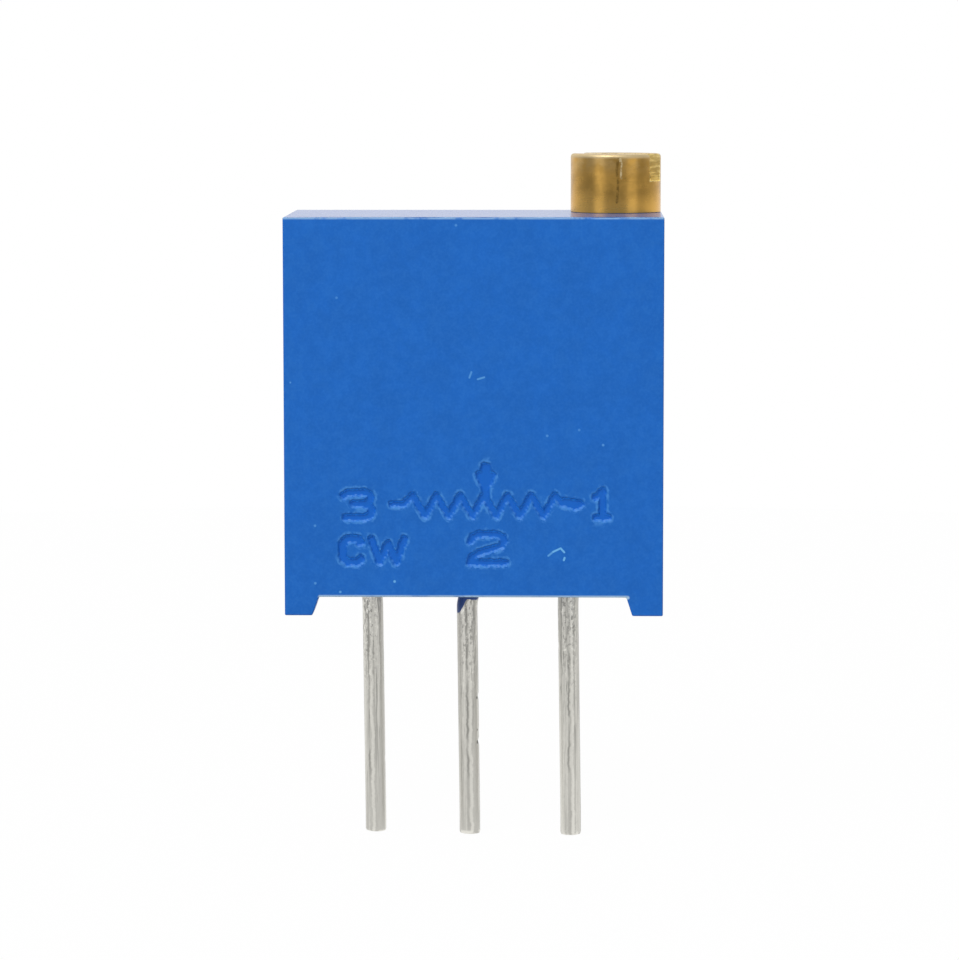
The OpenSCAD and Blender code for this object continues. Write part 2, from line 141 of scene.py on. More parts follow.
class TrimmerScrew(PropertyGroup):
    head_round: length("Head edge", "Rounding of the head's upper rim", 0.08, 0.01, 0.2)
    slot_width: length("Slot width", "Width of the screwdriver slot", 0.60)
    slot_depth: length("Slot depth", "Depth of the screwdriver slot", 0.70)
    slot_angle: FloatProperty(name="Slot direction", description="Direction of the slot from +X",
                              default=math.radians(-27), unit="ROTATION", subtype="ANGLE")
    worm_radius: length("Worm radius", "Pitch radius of the worm thread", 0.70)
    worm_turns: IntProperty(name="Worm turns", description="Turns of the worm thread", default=7,
                            min=3, max=12)
    brass: colour("Brass", "Colour of the turned brass", (0.5750, 0.3340, 0.0790))
    rubber: colour("Rubber", "Colour of the seal ring", (0.0180, 0.0180, 0.0190))
    steel: colour("Steel", "Colour of the retainer", (0.5500, 0.5400, 0.5200))


class TrimmerWheel(PropertyGroup):
    teeth: IntProperty(name="Teeth", description="Teeth of the worm wheel", default=36, min=24, max=48)
    module: length("Module", "Pitch diameter of the wheel for each tooth", 0.175)
    nylon: colour("Nylon", "Colour of the worm wheel", (0.7900, 0.7500, 0.6200))
    spring: colour("Spring metal", "Colour of the wiper contact", (0.7200, 0.5500, 0.2600))


class TrimmerElement(PropertyGroup):
    wire_chamfer: length("Wire end", "Chamfer at the ends of the terminals", 0.07, 0.02, 0.12)
    tin: colour("Tin", "Colour of the tinned terminals", (0.6300, 0.6180, 0.5700))
    solder: colour("Solder", "Colour of the solder", (0.5000, 0.5000, 0.5050))
    alumina: colour("Alumina", "Colour of the ceramic plate", (0.8200, 0.8150, 0.7800))
    silver: colour("Conductor", "Colour of the fired conductor film", (0.5500, 0.5250, 0.4700))
    cermet: colour("Cermet", "Colour of the fired resistive film", (0.0260, 0.0240, 0.0230))
    epoxy: colour("Epoxy", "Colour of the potting compound", (0.0120, 0.0560, 0.2200))


class TrimmerStudio(PropertyGroup):
    key: FloatProperty(name="Key box", description="Radiance of the soft box above left", default=8.5)
    side: FloatProperty(name="Side boxes", description="Radiance of the two tall soft boxes", default=0.66)
    fill: FloatProperty(name="Fill", description="Level of the light from all round", default=0.42)
    azimuth: FloatProperty(name="Camera azimuth", description="Camera direction from -Y towards +X",
                           default=math.radians(1.397), unit="ROTATION", subtype="ANGLE")
    elevation: FloatProperty(name="Camera elevation", description="Camera height above the horizon",
                             default=math.radians(6.177), unit="ROTATION", subtype="ANGLE")
    roll: FloatProperty(name="Camera roll", description="Turn of the camera about its own axis",
                        default=math.radians(-0.05), unit="ROTATION", subtype="ANGLE")
    distance: length("Camera distance", "From the camera to the part", 100.14, 40, 400)
    target: FloatVectorProperty(name="Camera target", description="Point that the camera looks at",
                                default=(0.000242, 0.0, 0.003183), size=3, unit="LENGTH",
                                subtype="XYZ")
    lens: FloatProperty(name="Lens", description="Focal length in millimetres", default=146.13)


GROUPS = {
    "trimmer_housing": TrimmerHousing,
    "trimmer_screw": TrimmerScrew,
    "trimmer_wheel": TrimmerWheel,
    "trimmer_element": TrimmerElement,
    "trimmer_studio": TrimmerStudio,
}


# -------------------------------------------------------------------------------- modelling aids


def only(obj):
    """Makes obj the one that is selected and active."""
    bpy.ops.object.select_all(action="DESELECT")
    obj.select_set(True)
    bpy.context.view_layer.objects.active = obj
    return obj


def edit(obj):
    only(obj)
    bpy.ops.object.mode_set(mode="EDIT")
    bpy.ops.mesh.select_mode(type="VERT")
    bpy.ops.mesh.select_all(action="SELECT")


def done():
    bpy.ops.object.mode_set(mode="OBJECT")


def apply_place(obj):
    only(obj)
    bpy.ops.object.transform_apply(location=True, rotation=True, scale=True)
    return obj


def pick(kind, test):
    """In edit mode, selects the points, edges or faces whose middle passes the test."""
    bpy.ops.mesh.select_mode(type=kind)
    bpy.ops.mesh.select_all(action="DESELECT")
    mesh = bpy.context.object.data
    shape = bmesh.from_edit_mesh(mesh)
    items = {"VERT": shape.verts, "EDGE": shape.edges, "FACE": shape.faces}[kind]
    found = False
    for item in items:
        if kind == "VERT":
            middle = item.co
        elif kind == "EDGE":
            middle = (item.verts[0].co + item.verts[1].co) / 2
        else:
            middle = item.calc_center_median()
        if test(middle, item):
            item.select_set(True)
            found = True
    shape.select_flush_mode()
    bmesh.update_edit_mesh(mesh)
    if not found:
        raise RuntimeError(f"nothing to pick on {bpy.context.object.name}")


def move(x=0.0, y=0.0, z=0.0):
    bpy.ops.transform.translate(value=(x, y, z))


def extrude(x=0.0, y=0.0, z=0.0):
    bpy.ops.mesh.extrude_region_move(TRANSFORM_OT_translate={"value": (x, y, z)})


def block(name, low, high):
    """A box between two corners."""
    bpy.ops.object.select_all(action="DESELECT")
    bpy.ops.mesh.primitive_cube_add(size=1, location=[(a + b) / 2 for a, b in zip(low, high)])
    obj = bpy.context.object
    obj.name = name
    obj.scale = [b - a for a, b in zip(low, high)]
    return apply_place(obj)


def line(name, points):
    """A line through the points, drawn by extruding one point. Leaves edit mode on."""
    bpy.ops.object.select_all(action="DESELECT")
    bpy.ops.mesh.primitive_plane_add(size=1)
    obj = bpy.context.object
    obj.name = name
    edit(obj)
    bpy.ops.mesh.merge(type="CENTER")
    move(*points[0])
    for a, b in zip(points, points[1:]):
        extrude(*(Vector(b) - Vector(a)))
    bpy.ops.mesh.select_all(action="SELECT")
    return obj


def plate(name, outline, push):
    """A flat piece: the outline is drawn, filled and extruded by push."""
    obj = line(name, outline)
    bpy.ops.mesh.edge_face_add()
    extrude(*push)
    return outward(obj)


def outward(obj):
    """Merges doubles and turns the faces outwards. Leaves edit mode off."""
    if bpy.context.mode != "EDIT_MESH":
        edit(obj)
    bpy.ops.mesh.select_all(action="SELECT")
    bpy.ops.mesh.remove_doubles(threshold=0.0004)
    bpy.ops.mesh.normals_make_consistent(inside=False)
    done()
    return obj


def turned(name, profile, centre, axis="Z", steps=96):
    """A turned piece from (radius, height) pairs that start and end on the axis."""
    cx, cy, cz = centre
    if axis == "Z":
        points = [(cx + r, cy, h) for r, h in profile]
        about = (0, 0, 1)
    else:
        points = [(cx + r, h, cz) for r, h in profile]
        about = (0, 1, 0)
    obj = line(name, points)
    bpy.ops.mesh.spin(steps=steps, angle=2 * math.pi, center=centre, axis=about)
    return outward(obj)


def bar(name, r, low, high, centre, axis="Z", steps=64):
    """A round bar, to join or to cut with."""
    return turned(name, [(0, low), (r, low), (r, high), (0, high)], centre, axis, steps)


def turned_ring(name, profile, centre, axis="Z", steps=96):
    """The same for a ring: a closed (radius, height) outline that stays off the axis."""
    return turned(name, list(profile) + [profile[0]], centre, axis, steps)


def modify(obj, kind, **settings):
    """Adds a modifier with these settings and applies it."""
    only(obj)
    bpy.ops.object.modifier_add(type=kind)
    modifier = obj.modifiers[-1]
    for name, value in settings.items():
        setattr(modifier, name, value)
    bpy.ops.object.modifier_apply(modifier=modifier.name)
    return obj


def combine(obj, tool, operation):
    modify(obj, "BOOLEAN", operation=operation, solver="EXACT", object=tool)
    mesh = tool.data
    bpy.data.objects.remove(tool)
    bpy.data.meshes.remove(mesh)
    return obj


def cut(obj, *tools):
    for tool in tools:
        combine(obj, tool, "DIFFERENCE")
    return obj


def join(obj, *others):
    for other in others:
        combine(obj, other, "UNION")
    return obj


def round_edges(obj, width, segments=2, angle=40):
    return modify(obj, "BEVEL", width=width, segments=segments, limit_method="ANGLE",
                  angle_limit=math.radians(angle), use_clamp_overlap=True)


def smooth(obj, angle=32):
    only(obj)
    bpy.ops.object.shade_smooth_by_angle(angle=math.radians(angle))
    return modify(obj, "WEIGHTED_NORMAL", keep_sharp=True, weight=60)


def tidy_mesh(obj):
    """Merges the points that booleans leave almost on top of each other."""
    edit(obj)
    bpy.ops.mesh.remove_doubles(threshold=0.0003)
    bpy.ops.mesh.dissolve_degenerate(threshold=0.0002)
    bpy.ops.mesh.delete_loose()
    done()
    return obj


def settle(obj, node, body, finish):
    """Brings a finished piece to metres with its place in its mesh, and puts it in for its CAD node."""
    apply_place(obj)
    obj.scale = (1 / MM,) * 3
    apply_place(obj)
    obj.data.materials.clear()
    obj.data.materials.append(finish)
    shape = bmesh.new()
    shape.from_mesh(obj.data)
    loose = sum(1 for e in shape.edges if len(e.link_faces) != 2)
    volume = shape.calc_volume(signed=True)
    shape.free()
    print(f"{obj.name}: {len(obj.data.polygons)} faces, {loose} open edges, {volume * 1e9:.3f} mm3")
    if volume <= 0:
        raise RuntimeError(f"{obj.name} is inside out")
    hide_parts(node)
    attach(obj, body)
    return obj


# -------------------------------------------------------------------------------------- finishes


class Nodes:
    """Short ways to build the nodes of a tree."""

    def __init__(self, tree):
        self.tree = tree

    def put(self, socket, value):
        if isinstance(value, bpy.types.NodeSocket):
            self.tree.links.new(value, socket)
        elif socket.type == "RGBA":
            socket.default_value = (*value[:3], 1.0)
        else:
            socket.default_value = value

    def add(self, kind, inputs=(), **settings):
        node = self.tree.nodes.new(kind)
        for name, value in settings.items():
            setattr(node, name, value)
        for key, value in dict(inputs).items():
            self.put(node.inputs[key], value)
        return node

    def math(self, operation, a, b=0.0, c=0.0):
        return self.add("ShaderNodeMath", {0: a, 1: b, 2: c}, operation=operation).outputs[0]

    def times(self, first, *others):
        for other in others:
            first = self.math("MULTIPLY", first, other)
        return first

    def vector(self, operation, a, b):
        return self.add("ShaderNodeVectorMath", {0: a, 1: b}, operation=operation).outputs

    def parts(self, vector):
        """The X, Y and Z of a vector."""
        return self.add("ShaderNodeSeparateXYZ", {0: vector}).outputs

    def level(self, value, zero, one):
        """Maps value smoothly from 0 at zero to 1 at one."""
        return self.add("ShaderNodeMapRange", {"Value": value, "From Min": zero, "From Max": one},
                        interpolation_type="SMOOTHSTEP").outputs["Result"]

    def span(self, value, low, high):
        """Maps a 0 to 1 value to low to high."""
        return self.add("ShaderNodeMapRange", {"Value": value, "To Min": low,
                                               "To Max": high}).outputs["Result"]

    def blend(self, share, a, b):
        node = self.add("ShaderNodeMix", data_type="RGBA")
        for socket, value in ((node.inputs[0], share), (node.inputs[6], a), (node.inputs[7], b)):
            self.put(socket, value)
        return node.outputs[2]


class Finish(Nodes):
    """A material. Its patterns follow Object coordinates, in metres."""

    def __init__(self, name, **sockets):
        self.material = bpy.data.materials.new(name)
        self.material.use_nodes = True
        super().__init__(self.material.node_tree)
        self.shader = self.tree.nodes["Principled BSDF"]
        for socket, value in sockets.items():
            self.set("IOR" if socket == "ior" else socket.replace("_", " ").title(), value)
        coordinates = self.add("ShaderNodeTexCoord").outputs
        self.place, self.facing = coordinates["Object"], coordinates["Normal"]

    def along(self, way, about, x, y, z):
        """Object coordinates turned by way about a point, and scaled apart along their new axes."""
        inputs = {"Vector": self.place, "Location": about, "Rotation": (0, 0, way),
                  "Scale": (1 / x, 1 / y, 1 / z)}
        return self.add("ShaderNodeMapping", inputs, vector_type="TEXTURE").outputs["Vector"]

    def stretch(self, x, y, z):
        """Object coordinates, scaled apart along the three axes."""
        return self.add("ShaderNodeMapping", {"Vector": self.place, "Scale": (x, y, z)}).outputs["Vector"]

    def noise(self, scale, detail=2.0, rough=0.5, place=None):
        return self.add("ShaderNodeTexNoise", {
            "Vector": place or self.place, "Scale": scale, "Detail": detail,
            "Roughness": rough}).outputs["Fac"]

    def spots(self, scale, size):
        """Sparse round specks, 1 inside and 0 outside."""
        near = self.add("ShaderNodeTexVoronoi", {"Vector": self.place, "Scale": scale},
                        feature="F1").outputs["Distance"]
        return self.level(near, size, size * 0.6)

    def bump(self, height, depth, strength=1.0, under=None):
        """Bump from a 0 to 1 height, depth in millimetres."""
        inputs = {"Height": height, "Distance": depth / MM, "Strength": strength}
        if under is not None:
            inputs["Normal"] = under
        return self.add("ShaderNodeBump", inputs).outputs["Normal"]

    def near_point(self, point, size):
        """1 at a point in millimetres, and 0 beyond size from it."""
        away = self.vector("DISTANCE", self.place, Vector(point) / MM)["Value"]
        return self.level(away, size / MM, 0.4 * size / MM)

    def near_line(self, a, b, width):
        """1 on the straight line from a to b, both in millimetres, and 0 beyond width from it."""
        a, b = Vector(a) / MM, Vector(b) / MM
        along = b - a
        size = along.length
        away = self.vector("SUBTRACT", self.place, a)["Vector"]
        passed = self.vector("DOT_PRODUCT", away, along / size)["Value"]
        held = self.add("ShaderNodeClamp", {"Value": passed, "Min": 0.0, "Max": size}).outputs[0]
        foot = self.add("ShaderNodeVectorMath", {0: along / size, "Scale": held}, operation="SCALE")
        gap = self.vector("DISTANCE", away, foot.outputs["Vector"])["Value"]
        return self.level(gap, width / MM, 0.3 * width / MM)

    def set(self, name, value):
        self.put(self.shader.inputs[name], value)


def shade(value, by):
    return tuple(min(1.0, c * by) for c in value[:3])


# handling marks on the marked face, in millimetres: scuffs as lines of (x, z) with a strength, and
# specks as (x, z, strength)
SCUFFS = [
    ([(2.03, 1.53), (2.15, 1.63)], 0.40),
    ([(2.15, 1.63), (2.34, 1.72), (2.43, 1.62)], 0.72),
    ([(2.44, 1.48), (2.42, 1.42)], 0.85),
    ([(0.05, 6.02), (0.10, 6.16)], 0.30),
    ([(0.26, 5.98), (0.42, 6.03)], 0.35),
]
SPECKS = [(2.00, 4.56, 0.25), (3.40, 4.33, 0.3), (2.80, 4.71, 0.2), (-3.84, 2.28, 0.25), (-3.84, 0.82, 0.3),
          (-1.84, 0.87, 0.6), (-3.21, 0.60, 0.4), (-0.28, 9.83, 0.25), (-3.27, 8.02, 0.2)]


def moulded_plastic(base):
    f = Finish("moulded_plastic", ior=1.5)
    low, high = corners("housing")
    face, top = low[1], high[2]
    housing = bpy.context.scene.trimmer_housing
    bottom, foot = low[2] + MM * housing.foot_height, MM * housing.foot_root
    _, depth, height = f.parts(f.place)
    _, out, up = f.parts(f.facing)
    cloud = f.noise(1500, 4.0, 0.6)
    blotch = f.noise(5200, 2.0, 0.6)
    grain = f.noise(15000, 3.0, 0.6)
    body = f.blend(f.level(cloud, 0.3, 0.72), shade(base, 0.95), shade(base, 1.03))
    body = f.blend(f.times(f.level(blotch, 0.45, 0.7), 0.22), body, shade(base, 0.88))
    # the skin has a faint haze that comes and goes
    haze = f.math("ADD", f.times(f.level(blotch, 0.56, 0.34), 0.034),
                  f.times(f.level(grain, 0.40, 0.66), 0.040))
    body = f.blend(haze, body, (0.13, 0.50, 1.0))
    # the marks' floors are painted a deeper blue, as painted light that lifts part of the shade in them
    in_front = f.level(depth, (face + 0.12) / MM, (face + 0.10) / MM)
    sunk = f.times(f.level(depth, (face + 0.012) / MM, (face + 0.05) / MM), in_front)
    body = f.blend(f.times(sunk, f.level(out, -0.5, -0.8)), body, (0.0065, 0.156, 0.680))
    # their up-facing lower edges get a painted highlight, broken up by noise
    below_rim = f.times(in_front, f.level(height, (top - 0.10) / MM, (top - 0.15) / MM))
    highlight_breakup = f.level(f.noise(6500, 3.0, 0.7), 0.32, 0.52)
    ledge_highlight = f.times(f.level(up, 0.2, 0.55), below_rim, highlight_breakup)
    body = f.blend(f.times(ledge_highlight, 0.9), body, (0.070, 0.280, 0.760))
    # their down-facing upper edges are painted a clearer blue, as painted light that lifts their shade
    body = f.blend(f.times(f.level(up, -0.2, -0.5), sunk), body, (0.022, 0.300, 1.0))
    # their rims get a painted highlight, in patches
    rim = f.add("ShaderNodeAttribute", attribute_name=RIM).outputs["Fac"]
    patchy = f.level(f.noise(4200, 4.0, 0.65), 0.42, 0.58)
    body = f.blend(f.times(rim, patchy, 0.85), body, (0.080, 0.340, 0.860))
    # dust, a scuff and specks from handling
    marks = f.times(f.spots(620, 0.03), 0.5)
    for scuff, strong in SCUFFS:
        for a, b in zip(scuff, scuff[1:]):
            at = f.near_line((a[0], face, a[1]), (b[0], face, b[1]), 0.034)
            marks = f.math("MAXIMUM", marks, f.times(at, strong))
    for x, z, strong in SPECKS:
        marks = f.math("MAXIMUM", marks, f.times(f.near_point((x, face, z), 0.045), strong))
    body = f.blend(f.times(marks, 1.6), body, (0.18, 0.55, 1.0))
    # the edge between the face and the top gets a painted highlight, in places
    edge_highlight = f.near_line((low[0], face, top), (high[0], face, top), 0.075)
    highlight_breakup = f.level(f.noise(1.0, 3.0, 0.6, f.stretch(2400, 700, 700)), 0.30, 0.52)
    body = f.blend(f.times(edge_highlight, highlight_breakup, 0.75), body, (0.36, 0.62, 0.88))
    # the lower edge of the wall gets a painted highlight too, all along
    edge_highlight = f.near_line((low[0] + foot, face, bottom), (high[0] - foot, face, bottom), 0.07)
    body = f.blend(f.times(edge_highlight, f.span(highlight_breakup, 0.6, 1.0)), body, (0.50, 0.74, 0.98))
    # the top face came off a polished part of the mould
    polished = f.level(height, (top - 0.025) / MM, (top - 0.005) / MM)
    dust = f.times(f.spots(1900, 0.055), 0.6)
    # the top face's blue is painted darker, as painted shade against the light from above; dust lies on it
    upper = f.blend(dust, shade(base, 0.82), (0.05, 0.09, 0.16))
    f.set("Base Color", f.blend(f.times(polished, f.level(up, 0.8, 0.95)), body, upper))
    rough = f.span(f.noise(5200, 3.0), 0.38, 0.50)
    f.set("Roughness", f.times(rough, f.span(polished, 1.0, 0.43)))
    f.set("Specular IOR Level", f.span(polished, 0.26, 0.48))
    orange = f.bump(f.noise(3000, 3.0, 0.55), 0.008, 0.4)
    f.set("Normal", f.bump(grain, 0.003, 0.45, orange))
    return f.material


def turned_brass(base):
    f = Finish("turned_brass", metallic=1.0)
    s = bpy.context.scene.trimmer_screw
    right, _, top = corners("adjusting_screw")[1]
    x, y, _ = joint_place("screw_turn")
    head, axis = right - x, Vector((x, y, 0)) / MM
    rings = f.noise(1.0, 3.0, 0.6, f.stretch(900, 900, 26000))
    cloud = f.noise(1700, 4.0, 0.6)
    height = f.parts(f.place)["Z"]
    tone = f.blend(f.level(cloud, 0.36, 0.66), shade(base, 0.80), shade(base, 1.12))
    tone = f.blend(f.times(f.level(rings, 0.45, 0.8), 0.3), tone, shade(base, 0.70))
    # the head is paler towards its rim, in patches
    pale = f.times(f.level(height, (top - 0.62) / MM, (top - 0.12) / MM), 0.45)
    tone = f.blend(f.times(pale, f.level(f.noise(2600, 2.0), 0.3, 0.6)), tone, (0.66, 0.47, 0.21))
    # the foot of the head is painted brighter, as painted light against the dark body that it reflects
    body_top = corners("housing")[1][2]
    foot = f.level(height, (body_top + 0.60) / MM, (body_top + 0.10) / MM)
    tone = f.blend(f.times(foot, 0.75), tone, shade(base, 1.45))
    # the chamfer round its rim gets a pale painted highlight
    radius = f.vector("DISTANCE", f.vector("MULTIPLY", f.place, (1, 1, 0))["Vector"], axis)["Value"]
    rim = f.times(f.level(height, (top - 0.13) / MM, (top - 0.05) / MM),
                  f.level(radius, (head - 0.12) / MM, (head - 0.08) / MM))
    tone = f.blend(f.times(rim, 0.75), tone, (0.78, 0.65, 0.40))
    # the slot's sawn metal is matt, and painted much paler, as painted light that lifts the shade inside
    # the slot
    way = Vector((-math.sin(s.slot_angle), math.cos(s.slot_angle), 0))
    from_axis = f.vector("SUBTRACT", f.place, axis)["Vector"]
    across = f.math("ABSOLUTE", f.vector("DOT_PRODUCT", from_axis, way)["Value"])
    wall, floor = s.slot_width / 2, top / MM - s.slot_depth
    sawn = f.times(f.level(across, wall + 0.006 / MM, wall + 0.003 / MM),
                   f.level(height, floor - 0.006 / MM, floor - 0.003 / MM))
    cuts = f.noise(1.0, 3.0, 0.6, f.along(s.slot_angle, axis, 2600, 9000, 9000))
    slot_painted_light = f.blend(f.level(cuts, 0.35, 0.65), (0.62, 0.49, 0.21), (1.0, 0.87, 0.46))
    tone = f.blend(sawn, tone, slot_painted_light)

    def drawn(path, wide):
        """1 on a line down the head's front, from (right of the axis, below the top) pairs."""
        share = 0.0
        points = [(x + right_by, y - head, top - down) for right_by, down in path]
        for a, b in zip(points, points[1:]):
            share = f.math("MAXIMUM", share, f.near_line(a, b, wide))
        return share

    # a scratch runs down beside the nick on the head's front, and the nick's lip gets a painted highlight
    scratch = drawn([(0.045, 0.12), (0.015, 0.40), (0.05, 0.72), (0.02, 1.22)], 0.050)
    lip_highlight = drawn([(0.10, 0.12), (0.135, 0.26), (0.11, 0.42), (0.125, 0.60)], 0.046)
    patchy = f.span(f.level(f.noise(8000, 3.0, 0.7), 0.36, 0.60), 0.15, 0.95)
    tone = f.blend(f.times(scratch, patchy), tone, shade(base, 0.50))
    f.set("Base Color", f.blend(f.times(lip_highlight, patchy), tone, (1.0, 0.82, 0.47)))
    rough = f.span(f.noise(1.0, 2.0, 0.5, f.stretch(1400, 1400, 9000)), 0.22, 0.36)
    matt = f.math("MAXIMUM", f.times(sawn, 0.3), f.times(rim, 0.24))
    f.set("Roughness", f.math("ADD", rough, matt))
    f.set("Normal", f.bump(rings, 0.0022, 0.5, f.bump(f.noise(2600, 2.0), 0.006, 0.25)))
    return f.material


def tinned_wire(base):
    f = Finish("tinned_wire")
    x, _, height = f.parts(f.place)
    bands = f.noise(1.0, 4.0, 0.62, f.stretch(4300, 4300, 95))
    streaks = f.noise(1.0, 4.0, 0.7, f.stretch(12000, 12000, 190))
    grains = f.noise(1.0, 3.0, 0.65, f.stretch(15000, 15000, 8000))
    tone = f.blend(f.level(bands, 0.40, 0.60), shade(base, 0.84), shade(base, 1.12))
    calm = f.span(f.level(height, -5.0 / MM, -2.0 / MM), 0.35, 1.0)
    tone = f.blend(f.times(f.level(streaks, 0.50, 0.64), calm, 0.45), tone, shade(base, 0.72))
    # thin dark lines run along the coat between its ridges
    for middle, wide in ((0.47, 0.016), (0.56, 0.010)):
        seam = f.level(f.math("ABSOLUTE", f.math("SUBTRACT", bands, middle)), wide, 0.3 * wide)
        tone = f.blend(f.times(seam, calm, 0.75), tone, shade(base, 0.42))
    # a crinkled fold along the front of each wire is painted: painted shade in the fold, and a painted
    # highlight on the ridge beside it
    beside = f.math("ADD", f.math("WRAP", x, 1.27 / MM, -1.27 / MM), f.times(height, 0.012))
    wobble = f.math("SUBTRACT", f.noise(1.0, 4.0, 0.65, f.stretch(500, 500, 2300)), 0.5)
    aside = f.span(f.level(x, 1.2 / MM, 1.4 / MM), 0.08 / MM, 0.0)
    beside = f.math("ADD", f.math("ADD", beside, f.times(wobble, 0.15 / MM)), aside)
    broken = f.level(f.noise(1.0, 2.0, 0.5, f.stretch(900, 900, 1300)), 0.30, 0.55)
    fading = f.times(broken, f.span(f.level(height, -5.6 / MM, -3.6 / MM), 0.25, 1.0))
    ridge_highlight = f.level(f.math("ABSOLUTE", f.math("SUBTRACT", beside, 0.055 / MM)), 0.055 / MM, 0.020 / MM)
    fold_shade = f.level(f.math("ABSOLUTE", f.math("ADD", beside, 0.025 / MM)), 0.034 / MM, 0.012 / MM)
    tone = f.blend(f.times(ridge_highlight, 0.55), tone, shade(base, 1.35))
    tone = f.blend(f.times(fold_shade, fading, 0.85), tone, shade(base, 0.45))
    # the tin is grainy, most of all near the body, where its dark grains are also painted shade from the
    # body
    grain_and_shade_top = f.times(f.span(f.level(height, -3.0 / MM, 0.0), 0.10, 0.95),
                        f.span(f.level(f.math("ABSOLUTE", beside), 0.24 / MM, 0.10 / MM), 0.3, 1.0))
    tone = f.blend(f.times(f.level(grains, 0.54, 0.62), grain_and_shade_top), tone, shade(base, 0.46))
    tone = f.blend(f.times(f.level(grains, 0.42, 0.34), grain_and_shade_top), tone, shade(base, 1.45))
    # dark spots beside the dents of the middle wire
    for x_spot, y_spot, z_spot, size in ((0.185, -0.14, -2.46, 0.055), (0.20, -0.13, -3.62, 0.070),
                                         (0.185, -0.14, -3.30, 0.035)):
        tone = f.blend(f.near_point((x_spot, y_spot, z_spot), size), tone, shade(base, 0.22))
    # the sheared ends are painted brighter: they are fresh metal, and carry a painted highlight
    low = corners("terminal_2")[0][2]
    fresh_and_highlight = f.times(f.level(height, (low + 0.16) / MM, (low + 0.10) / MM),
                    f.level(f.noise(4500, 1.0), 0.45, 0.55))
    tone = f.blend(fresh_and_highlight, tone, shade(base, 1.25))
    # potting compound has crept a little way down the middle wire
    ragged = f.times(f.math("SUBTRACT", f.noise(6000, 2.0), 0.5), 0.12 / MM)
    left = f.times(f.level(x, -0.05 / MM, -0.30 / MM), 0.36 / MM)
    edge = f.math("ADD", f.math("ADD", height, ragged), left)
    wet = f.times(f.level(edge, 0.10 / MM, 0.13 / MM),
                  f.level(f.math("ABSOLUTE", x), 1.0 / MM, 0.8 / MM))
    tone = f.blend(wet, tone, (0.010, 0.080, 0.340))
    f.set("Metallic", f.span(wet, 1.0, 0.0))
    f.set("Base Color", tone)
    f.set("Roughness", f.span(streaks, 0.24, 0.42))
    f.set("Normal", f.bump(bands, 0.026, 0.6, f.bump(streaks, 0.010, 0.5, f.bump(grains, 0.006, 0.6))))
    return f.material


def potting_epoxy(base):
    f = Finish("potting_epoxy", ior=1.55, coat_weight=0.25, coat_roughness=0.12)
    cloud = f.noise(900, 4.0, 0.6)
    tone = f.blend(f.level(cloud, 0.3, 0.75), shade(base, 0.72), shade(base, 1.30))
    tone = f.blend(f.times(f.spots(1700, 0.08), 0.5), tone, shade(base, 2.2))
    f.set("Base Color", tone)
    f.set("Roughness", f.span(f.noise(4200, 2.0), 0.14, 0.34))
    f.set("Normal", f.bump(f.noise(1300, 3.0, 0.55), 0.03, 0.35))
    return f.material


def solder_metal(base):
    f = Finish("solder_metal", metallic=1.0)
    frost = f.noise(9000, 4.0, 0.7)
    tone = f.blend(f.level(frost, 0.35, 0.7), shade(base, 0.75), shade(base, 1.3))
    f.set("Base Color", tone)
    f.set("Roughness", f.span(frost, 0.2, 0.5))
    f.set("Normal", f.bump(frost, 0.006, 0.5))
    return f.material


def nylon(base):
    f = Finish("nylon", ior=1.53, subsurface_weight=0.15, subsurface_scale=0.0003)
    f.set("Subsurface Radius", (1.0, 0.8, 0.55))
    cloud = f.noise(700, 3.0, 0.5)
    grain = f.noise(16000, 2.0, 0.6)
    f.set("Base Color", f.blend(f.level(cloud, 0.3, 0.75), shade(base, 0.92), shade(base, 1.05)))
    f.set("Roughness", f.span(grain, 0.38, 0.54))
    f.set("Normal", f.bump(grain, 0.003, 0.4))
    return f.material


def rolled_metal(name, base, stretch, tones, rough, depth):
    """Sheet metal with the fine lines of rolling, which the stretch draws out along one axis."""
    f = Finish(name, metallic=1.0)
    rolled = f.noise(1.0, 3.0, 0.6, f.stretch(*stretch))
    f.set("Base Color", f.blend(f.level(rolled, 0.35, 0.7), shade(base, tones[0]), shade(base, tones[1])))
    f.set("Roughness", f.span(rolled, *rough))
    f.set("Normal", f.bump(rolled, depth, 0.5))
    return f.material


def spring_sheet(base):
    return rolled_metal("spring_sheet", base, (26000, 26000, 900), (0.82, 1.12), (0.2, 0.38), 0.002)


def spring_steel(base):
    return rolled_metal("spring_steel", base, (700, 22000, 22000), (0.8, 1.15), (0.22, 0.42), 0.003)


def seal_rubber(base):
    f = Finish("seal_rubber", ior=1.52)
    bloom = f.noise(5200, 4.0, 0.6)
    f.set("Base Color", f.blend(f.level(bloom, 0.4, 0.8), base, shade(base, 2.2)))
    f.set("Roughness", f.span(bloom, 0.5, 0.72))
    f.set("Normal", f.bump(bloom, 0.004, 0.5))
    return f.material


def alumina(base):
    f = Finish("alumina", ior=1.6)
    grain = f.noise(21000, 3.0, 0.65)
    cloud = f.noise(1200, 3.0)
    tone = f.blend(f.level(cloud, 0.3, 0.7), shade(base, 0.95), shade(base, 1.04))
    tone = f.blend(f.times(f.spots(2100, 0.05), 0.4), tone, shade(base, 0.6))
    f.set("Base Color", tone)
    f.set("Roughness", f.span(grain, 0.45, 0.65))
    f.set("Normal", f.bump(grain, 0.003, 0.5))
    return f.material


def fired_film(name, base, metal, grain_depth):
    f = Finish(name, metallic=metal)
    mesh_marks = f.noise(1.0, 3.0, 0.6, f.stretch(9000, 9000, 9000))
    f.set("Base Color", f.blend(f.level(mesh_marks, 0.3, 0.75), shade(base, 0.8), shade(base, 1.25)))
    f.set("Roughness", f.span(mesh_marks, 0.35, 0.58))
    f.set("Normal", f.bump(mesh_marks, grain_depth, 0.5))
    return f.material


_finishes = {}


